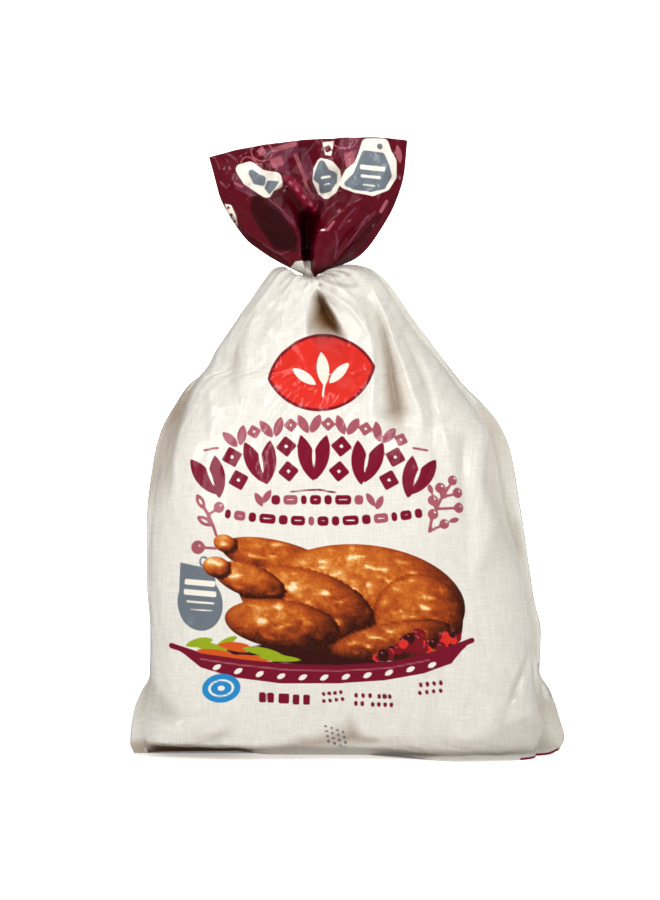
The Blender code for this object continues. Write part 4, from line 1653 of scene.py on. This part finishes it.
@dataclass(frozen=True)
class CollarFilm:
    """The film above the neck: a pleated funnel whose mouth stands a little open.

    Attributes:
        plan: how the columns are shared out.
        root_rows: rings inside the neck.
        outer_rows: rings from the neck up to the rim.
        inner_rows: rings of the mouth's inside.
        inner_floor: height down to which the mouth is open inside.
    """

    plan: RingPlan = RingPlan(front=180, back=80)
    root_rows: int = 6
    outer_rows: int = 100
    inner_rows: int = 44
    inner_floor: float = 402.0

    @staticmethod
    def lift(x: Array, height: float) -> Array:
        """How far the film at a nominal height lies from it, so that the rim is an arc.

        Args:
            x: across the collar.
            height: nominal height.

        Returns:
            Millimetres up.
        """
        rim = MOUTH_TOP - MOUTH_ARC_RADIUS + np.sqrt(MOUTH_ARC_RADIUS**2 - (x - MOUTH_TOP_X) ** 2)
        return (height - NECK_TOP) / (MOUTH_TOP - NECK_TOP) * (rim - MOUTH_TOP)

    def rows_outside(self) -> Array:
        """The outside of the collar, from inside the neck up to the rim.

        Returns:
            Points as (row, column, xyz) in millimetres.
        """
        rings = []
        turn = np.linspace(0, math.tau, self.plan.front + self.plan.back, endpoint=False) + math.pi
        for share in np.linspace(0, 1, self.root_rows + 1)[:-1]:
            radius = ROOT_RADIUS + ROOT_FLARE * share**1.5
            rings.append((NECK_X + radius * np.cos(turn), radius * np.sin(turn),
                          np.full(len(turn), ROOT_FOOT + (NECK_TOP - ROOT_FOOT) * share)))
        for share in np.linspace(0, 1, self.outer_rows + 1):
            height = NECK_TOP + (MOUTH_TOP - NECK_TOP) * share**ROW_CROWDING
            left, right = curve(COLLAR_LEFT, height), curve(COLLAR_RIGHT, height)

            def wall(x: Array, gap: float) -> Array:
                """How far a wall stands from the collar's middle plane.

                Args:
                    x: across the collar.
                    gap: the wall's depth at its middle.

                Returns:
                    The distances.
                """
                across = np.clip(np.abs((2 * x - left - right) / (right - left)), 0, 1)
                return FILM_THICKNESS + gap * np.sqrt(1 - across**3)

            x, y = self.plan.ring(left, right, lambda x: -wall(x, curve(COLLAR_FRONT, height)),
                                  lambda x: wall(x, curve(COLLAR_BACK, height)))
            rings.append((x, y, height + self.lift(x, height)))
        return np.array([np.stack(ring, axis=1) for ring in rings])

    def skin(self) -> Skin:
        """Makes the collar's film with its print.

        Returns:
            The skin.
        """
        rows = self.rows_outside()
        x, z = rows[..., 0].copy(), rows[..., 2].copy()
        front = np.arange(rows.shape[1]) < self.plan.front
        around, up = film_lengths(rows)
        above = smooth_step(NECK_TOP - 2, NECK_TOP + 8, z)
        folded = blurred(facets(COLLAR_CREASES, COLLAR_ANCHORS, x, z), 1)
        behind = blurred(facets(COLLAR_BACK_CREASES, COLLAR_ANCHORS, x, z), 2)
        small = self.wrinkles(x, z)
        edge = smooth_step(0, 5, np.minimum(x - x.min(axis=1, keepdims=True), x.max(axis=1, keepdims=True) - x))
        front_y = rows[..., 1] - (folded + small * edge) * above
        back_y = np.maximum(rows[..., 1] + (behind + small) * above * edge, -folded * above + RIM_GAP * edge)
        rows[..., 1] = np.where(front, front_y, back_y)
        # Painted shade: darker colour deep in the collar's folds and over its shaded facets
        painted_shade = self.painted_shades(x, z, (folded + small) * above * front, front)
        art = Artwork(np.where(front, x, COLLAR_LEFT[-1][1] + COLLAR_RIGHT[-1][1] - x), z)
        CollarPrint(art).draw()
        lining = np.linspace(len(rows) - 1, int(np.argmax(z.min(axis=1) > self.inner_floor)), self.inner_rows)
        chosen = lining.astype(int)

        def lined(values: Array) -> Array:
            """Adds the rows of the lining to those of the outside.

            Args:
                values: one row for each ring of the outside.

            Returns:
                All rows.
            """
            return np.concatenate([values, values[chosen]])

        whole = np.concatenate([rows, rows[chosen] - normals_of(rows)[chosen] * FILM_THICKNESS])
        whole[..., 1] += DEPTH_SHIFT
        inner = np.zeros(whole.shape[:2])
        inner[len(rows) + 1:] = 1.0
        inks = {ink: lined(values) for ink, values in art.inks.items()}
        return Skin("film_collar", whole, lined(around), lined(up), inks, lined(art.tone), inner, lined(painted_shade))

    @staticmethod
    def wrinkles(x: Array, z: Array) -> Array:
        """The collar's small relief: fine ridges, a fan from the neck, and facets of squeezed film.

        Args:
            x: across the collar.
            z: heights.

        Returns:
            How far the film stands out.
        """
        level = np.clip((z - NECK_TOP) / (MOUTH_TOP - NECK_TOP), 0, 1)
        small = sum(wrinkle.relief(x, z) for wrinkle in COLLAR_WRINKLES)
        radial = (x - NECK_X) / np.maximum(z - FAN_HEIGHT, 6)
        fan = level**0.4 * (1 - smooth_step(0.45, 1.0, level))
        small += fan * sum(wrinkle.relief(radial, z) for wrinkle in FAN_WRINKLES)
        small += level**0.5 * MOUTH_WRINKLE.relief(x, z)
        squeezed = blurred(sum(crumpled(x, z, *facet) for facet in SQUEEZED), 1)
        return small + squeezed * smooth_step(0.02, 0.6, level)

    @staticmethod
    def painted_shades(x: Array, z: Array, relief: Array, front: Array) -> Array:
        """Shade painted into the collar's colour, deep in its folds and over the facets listed as shaded.

        Args:
            x: across the collar.
            z: heights.
            relief: how far the front stands out.
            front: which columns are the front's.

        Returns:
            Values from 0 to 1.
        """
        painted_shade = np.clip((blurred(relief, 16) - relief) / 6, 0, 1)
        shades = Artwork(x, z)
        for corners, depth in COLLAR_SHADES:
            painted_shade = np.maximum(painted_shade, depth * smooth_step(-0.3, 0.9, shades.outline(corners)) * front)
        return painted_shade


class Nodes:
    """A material's nodes, added one by one."""

    def __init__(self, name: str) -> None:
        """Starts a material with nothing but its output.

        Args:
            name: name of the material.
        """
        self.material = bpy.data.materials.new(name)
        self.material.use_nodes = True
        self.tree = self.material.node_tree
        self.tree.nodes.clear()

    def add(self, kind: str, inputs: dict | None = None, **settings: object) -> bpy.types.Node:
        """Adds a node.

        Args:
            kind: its type.
            inputs: sockets to set, by name or number, with a value or with another node's socket.
            settings: its properties.

        Returns:
            The node.
        """
        node = self.tree.nodes.new(kind)
        for name, value in settings.items():
            setattr(node, name, value)
        for key, value in (inputs or {}).items():
            if isinstance(value, bpy.types.NodeSocket):
                self.tree.links.new(value, node.inputs[key])
            else:
                node.inputs[key].default_value = value
        return node

    def maths(self, operation: str, *values: object) -> bpy.types.NodeSocket:
        """Adds a sum.

        Args:
            operation: Blender's name for it.
            values: numbers or sockets.

        Returns:
            Its result.
        """
        return self.add("ShaderNodeMath", dict(enumerate(values)), operation=operation).outputs[0]

    def mix(self, share: object, below: object, above: object) -> bpy.types.NodeSocket:
        """Mixes two colours.

        Args:
            share: how much of the second.
            below: the first.
            above: the second.

        Returns:
            The mixed colour.
        """
        node = self.add("ShaderNodeMix", {0: share, 6: below, 7: above}, data_type="RGBA")
        return node.outputs[2]


def film_material() -> bpy.types.Material:
    """Printed polythene: a cream ground with a fine linen pattern, inks, shade painted into its folds, and
    small crinkles.

    Returns:
        The material.
    """
    nodes = Nodes(FILM_SLOT)
    film = nodes.add("ShaderNodeUVMap", uv_map="film").outputs[0]

    def threads(across_mm: float, up_mm: float) -> bpy.types.NodeSocket:
        """Noise stretched into fibres along the film.

        Args:
            across_mm: grain across the film.
            up_mm: grain up the film.

        Returns:
            The noise.
        """
        scaled = nodes.add("ShaderNodeMapping", {0: film, 3: (1 / (across_mm * MM), 1 / (up_mm * MM), 1)})
        return nodes.add("ShaderNodeTexNoise", {"Vector": scaled.outputs[0], "Scale": 1.0, "Detail": 1.0},
                         noise_dimensions="2D").outputs[0]

    pitch = FILM.thread_pitch_mm
    weave = nodes.maths("ADD", threads(pitch, pitch * 14), threads(pitch * 14, pitch))
    share = nodes.add("ShaderNodeMapRange", {0: weave, 1: 0.8, 2: 1.2, 3: 0.0, 4: 1.0}).outputs[0]
    colour = nodes.mix(share, linear(FILM.ground), linear(FILM.thread))
    tone = nodes.add("ShaderNodeAttribute", attribute_name="roast_tone").outputs["Fac"]
    speckle = nodes.maths("MULTIPLY_ADD", threads(FILM.speckle_mm, FILM.speckle_mm), FILM.speckle,
                          -FILM.speckle / 2)
    ramp = nodes.add("ShaderNodeValToRGB", {0: nodes.maths("ADD", tone, speckle)})
    stops = ramp.color_ramp.elements
    for k, (position, shade) in enumerate(ROAST_RAMP):
        stop = stops[k] if k < 2 else stops.new(position)
        stop.position, stop.color = position, linear(shade)
    for ink in Ink:
        distance = nodes.add("ShaderNodeAttribute", attribute_name=f"ink_{ink.value}").outputs["Fac"]
        cover = nodes.add("ShaderNodeMapRange", {0: distance, 1: -INK_EDGE, 2: INK_EDGE, 3: 0.0, 4: 1.0},
                          interpolation_type="SMOOTHSTEP").outputs[0]
        above = ramp.outputs[0] if ink is Ink.ROAST else linear(INK_COLOURS[ink])
        colour = nodes.mix(cover, colour, above)
    inner = nodes.add("ShaderNodeAttribute", attribute_name="inner_side").outputs["Fac"]
    colour = nodes.mix(inner, colour, linear(FILM.inside))
    # Painted shade: the colour is multiplied towards warm brown in folds, in creases and along the hem
    depth = nodes.add("ShaderNodeAttribute", attribute_name="painted_shade").outputs["Fac"]
    colour = nodes.add("ShaderNodeMix", {0: depth, 6: colour, 7: linear(FILM.painted_shade)},
                       data_type="RGBA", blend_type="MULTIPLY").outputs[2]
    crinkle = threads(FILM.crinkle_mm, FILM.crinkle_mm * 2.2)
    strength, height = FILM.crinkle_bump
    bump = nodes.add("ShaderNodeBump", {"Strength": strength, "Distance": height, "Height": crinkle})
    strength, height = FILM.weave_bump
    weave_bump = nodes.add("ShaderNodeBump", {"Strength": strength, "Distance": height, "Height": weave,
                                              "Normal": bump.outputs[0]})
    shader = nodes.add("ShaderNodeBsdfPrincipled", {
        "Base Color": colour,
        "Roughness": FILM.roughness,
        "IOR": FILM.ior,
        "Specular IOR Level": FILM.specular,
        "Coat Weight": FILM.coat,
        "Coat Roughness": FILM.coat_roughness,
        "Normal": weave_bump.outputs[0],
        "Coat Normal": bump.outputs[0],
    })
    nodes.add("ShaderNodeOutputMaterial", {0: shader.outputs[0]})
    return nodes.material


@dataclass(frozen=True)
class SoftBox:
    """A large soft light.

    Attributes:
        name: its name.
        place: where it is, in metres.
        aim: what it is turned to.
        width: its width, in metres.
        height: its height.
        watts: its power.
    """

    name: str
    place: tuple[float, float, float]
    aim: tuple[float, float, float]
    width: float
    height: float
    watts: float


@dataclass(frozen=True)
class Studio:
    """The white studio: floor, backdrop light, soft lights and camera.

    Attributes:
        boxes: the soft lights.
        world_light: strength of the white world.
        lens: focal length, in mm.
        gamma: of the picture, below 1 for deeper darks.
        card: the cards' grey.
        back_glow: how strongly the backdrop glows.
        floor_glow: how strongly the floor glows near the bag and far from it.
        floor_glow_reach: where that change starts and ends, in metres.
    """

    boxes: tuple[SoftBox, ...] = (
        SoftBox("key_light", (1.0, -1.5, 1.35), (0, 0, 0.25), 0.8, 0.9, 12.4),
        SoftBox("fill_light", (-1.4, -1.2, 0.9), (0, 0, 0.25), 0.7, 1.0, 7.6),
        SoftBox("top_light", (0.1, -0.3, 1.45), (0, 0, 0.2), 1.1, 0.8, 3.2),
        SoftBox("strip_light", (-0.45, -1.5, 1.1), (0, 0, 0.35), 0.12, 0.8, 3),
    )
    world_light: float = 0.25
    lens: float = 125.0
    gamma: float = 0.8
    card: tuple[float, ...] = (0.82, 0.82, 0.82, 1)
    back_glow: float = 1.1
    floor_glow: tuple[float, float] = (0.46, 1.05)
    floor_glow_reach: tuple[float, float] = (0.25, 1.2)

    def sheet(self, name: str, turn: tuple[float, float, float], place: tuple[float, float, float],
              half: float, glow: object, nodes: Nodes) -> None:
        """A large flat sheet of white card.

        Args:
            name: its name.
            turn: how it is turned, in radians.
            place: its middle, in metres.
            half: half its width, in metres.
            glow: how strongly it glows, a number or a socket.
            nodes: its material's nodes.
        """
        shape = bmesh.new()
        bmesh.ops.create_grid(shape, x_segments=2, y_segments=2, size=half)
        mesh = bpy.data.meshes.new(name)
        shape.to_mesh(mesh)
        shape.free()
        shader = nodes.add("ShaderNodeBsdfPrincipled", {
            "Base Color": self.card,
            "Roughness": 0.9,
            "Emission Color": (1, 1, 1, 1),
            "Emission Strength": glow,
        })
        nodes.add("ShaderNodeOutputMaterial", {0: shader.outputs[0]})
        mesh.materials.append(nodes.material)
        sheet = bpy.data.objects.new(name, mesh)
        sheet.location, sheet.rotation_euler = place, turn
        bpy.context.scene.collection.objects.link(sheet)
        sheet.visible_glossy = False

    def cards(self) -> None:
        """A white floor that glows away from the bag, and a glowing backdrop."""
        floor = Nodes("floor_card")
        spot = floor.add("ShaderNodeTexCoord").outputs["Object"]
        distance = floor.add("ShaderNodeVectorMath", {0: spot}, operation="LENGTH").outputs["Value"]
        (near, far), (dim, bright) = self.floor_glow_reach, self.floor_glow
        glow = floor.add("ShaderNodeMapRange", {0: distance, 1: near, 2: far, 3: dim, 4: bright},
                         interpolation_type="SMOOTHSTEP").outputs[0]
        self.sheet("floor_card", (0, 0, 0), (0, 0, 0), 25.0, glow, floor)
        self.sheet("back_card", (math.pi / 2, 0, 0), (0, 3.5, 0), 5.0, self.back_glow, Nodes("back_card"))

    def lights(self) -> None:
        """The soft boxes and the white world."""
        for box in self.boxes:
            data = bpy.data.lights.new(box.name, "AREA")
            data.shape = "RECTANGLE"
            data.size, data.size_y, data.energy = box.width, box.height, box.watts
            lamp = bpy.data.objects.new(box.name, data)
            lamp.location = box.place
            lamp.rotation_euler = (Vector(box.aim) - Vector(box.place)).to_track_quat("-Z", "Y").to_euler()
            bpy.context.scene.collection.objects.link(lamp)
        world = bpy.data.worlds.new("studio_world")
        world.use_nodes = True
        background = world.node_tree.nodes["Background"]
        background.inputs[0].default_value = (1, 1, 1, 1)
        background.inputs[1].default_value = self.world_light
        bpy.context.scene.world = world

    def camera(self) -> None:
        """The camera, level and straight in front, where the photograph was taken from."""
        data = bpy.data.cameras.new("camera")
        data.lens = self.lens
        data.sensor_width = 36.0
        camera = bpy.data.objects.new("camera", data)
        camera.location = (CAMERA_X * MM, CAMERA_Y * MM, CAMERA_Z * MM)
        camera.rotation_euler = (math.pi / 2, 0, 0)
        bpy.context.scene.collection.objects.link(camera)
        bpy.context.scene.camera = camera

    def build(self) -> None:
        """Sets the whole studio up."""
        self.cards()
        self.lights()
        self.camera()
        view = bpy.context.scene.view_settings
        view.view_transform = "Standard"
        view.look = "None"
        view.gamma = self.gamma


def main() -> None:
    """Builds the bag's film and the studio round it."""
    logging.basicConfig(level=logging.INFO, format="%(name)s: %(message)s")
    material = film_material()
    for maker in (BodyFilm(), CollarFilm()):
        piece = maker.skin().build(material)
        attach(piece, BODY)
        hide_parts(CAD_NODE)
    Studio().build()


if __name__ == "__main__":
    main()
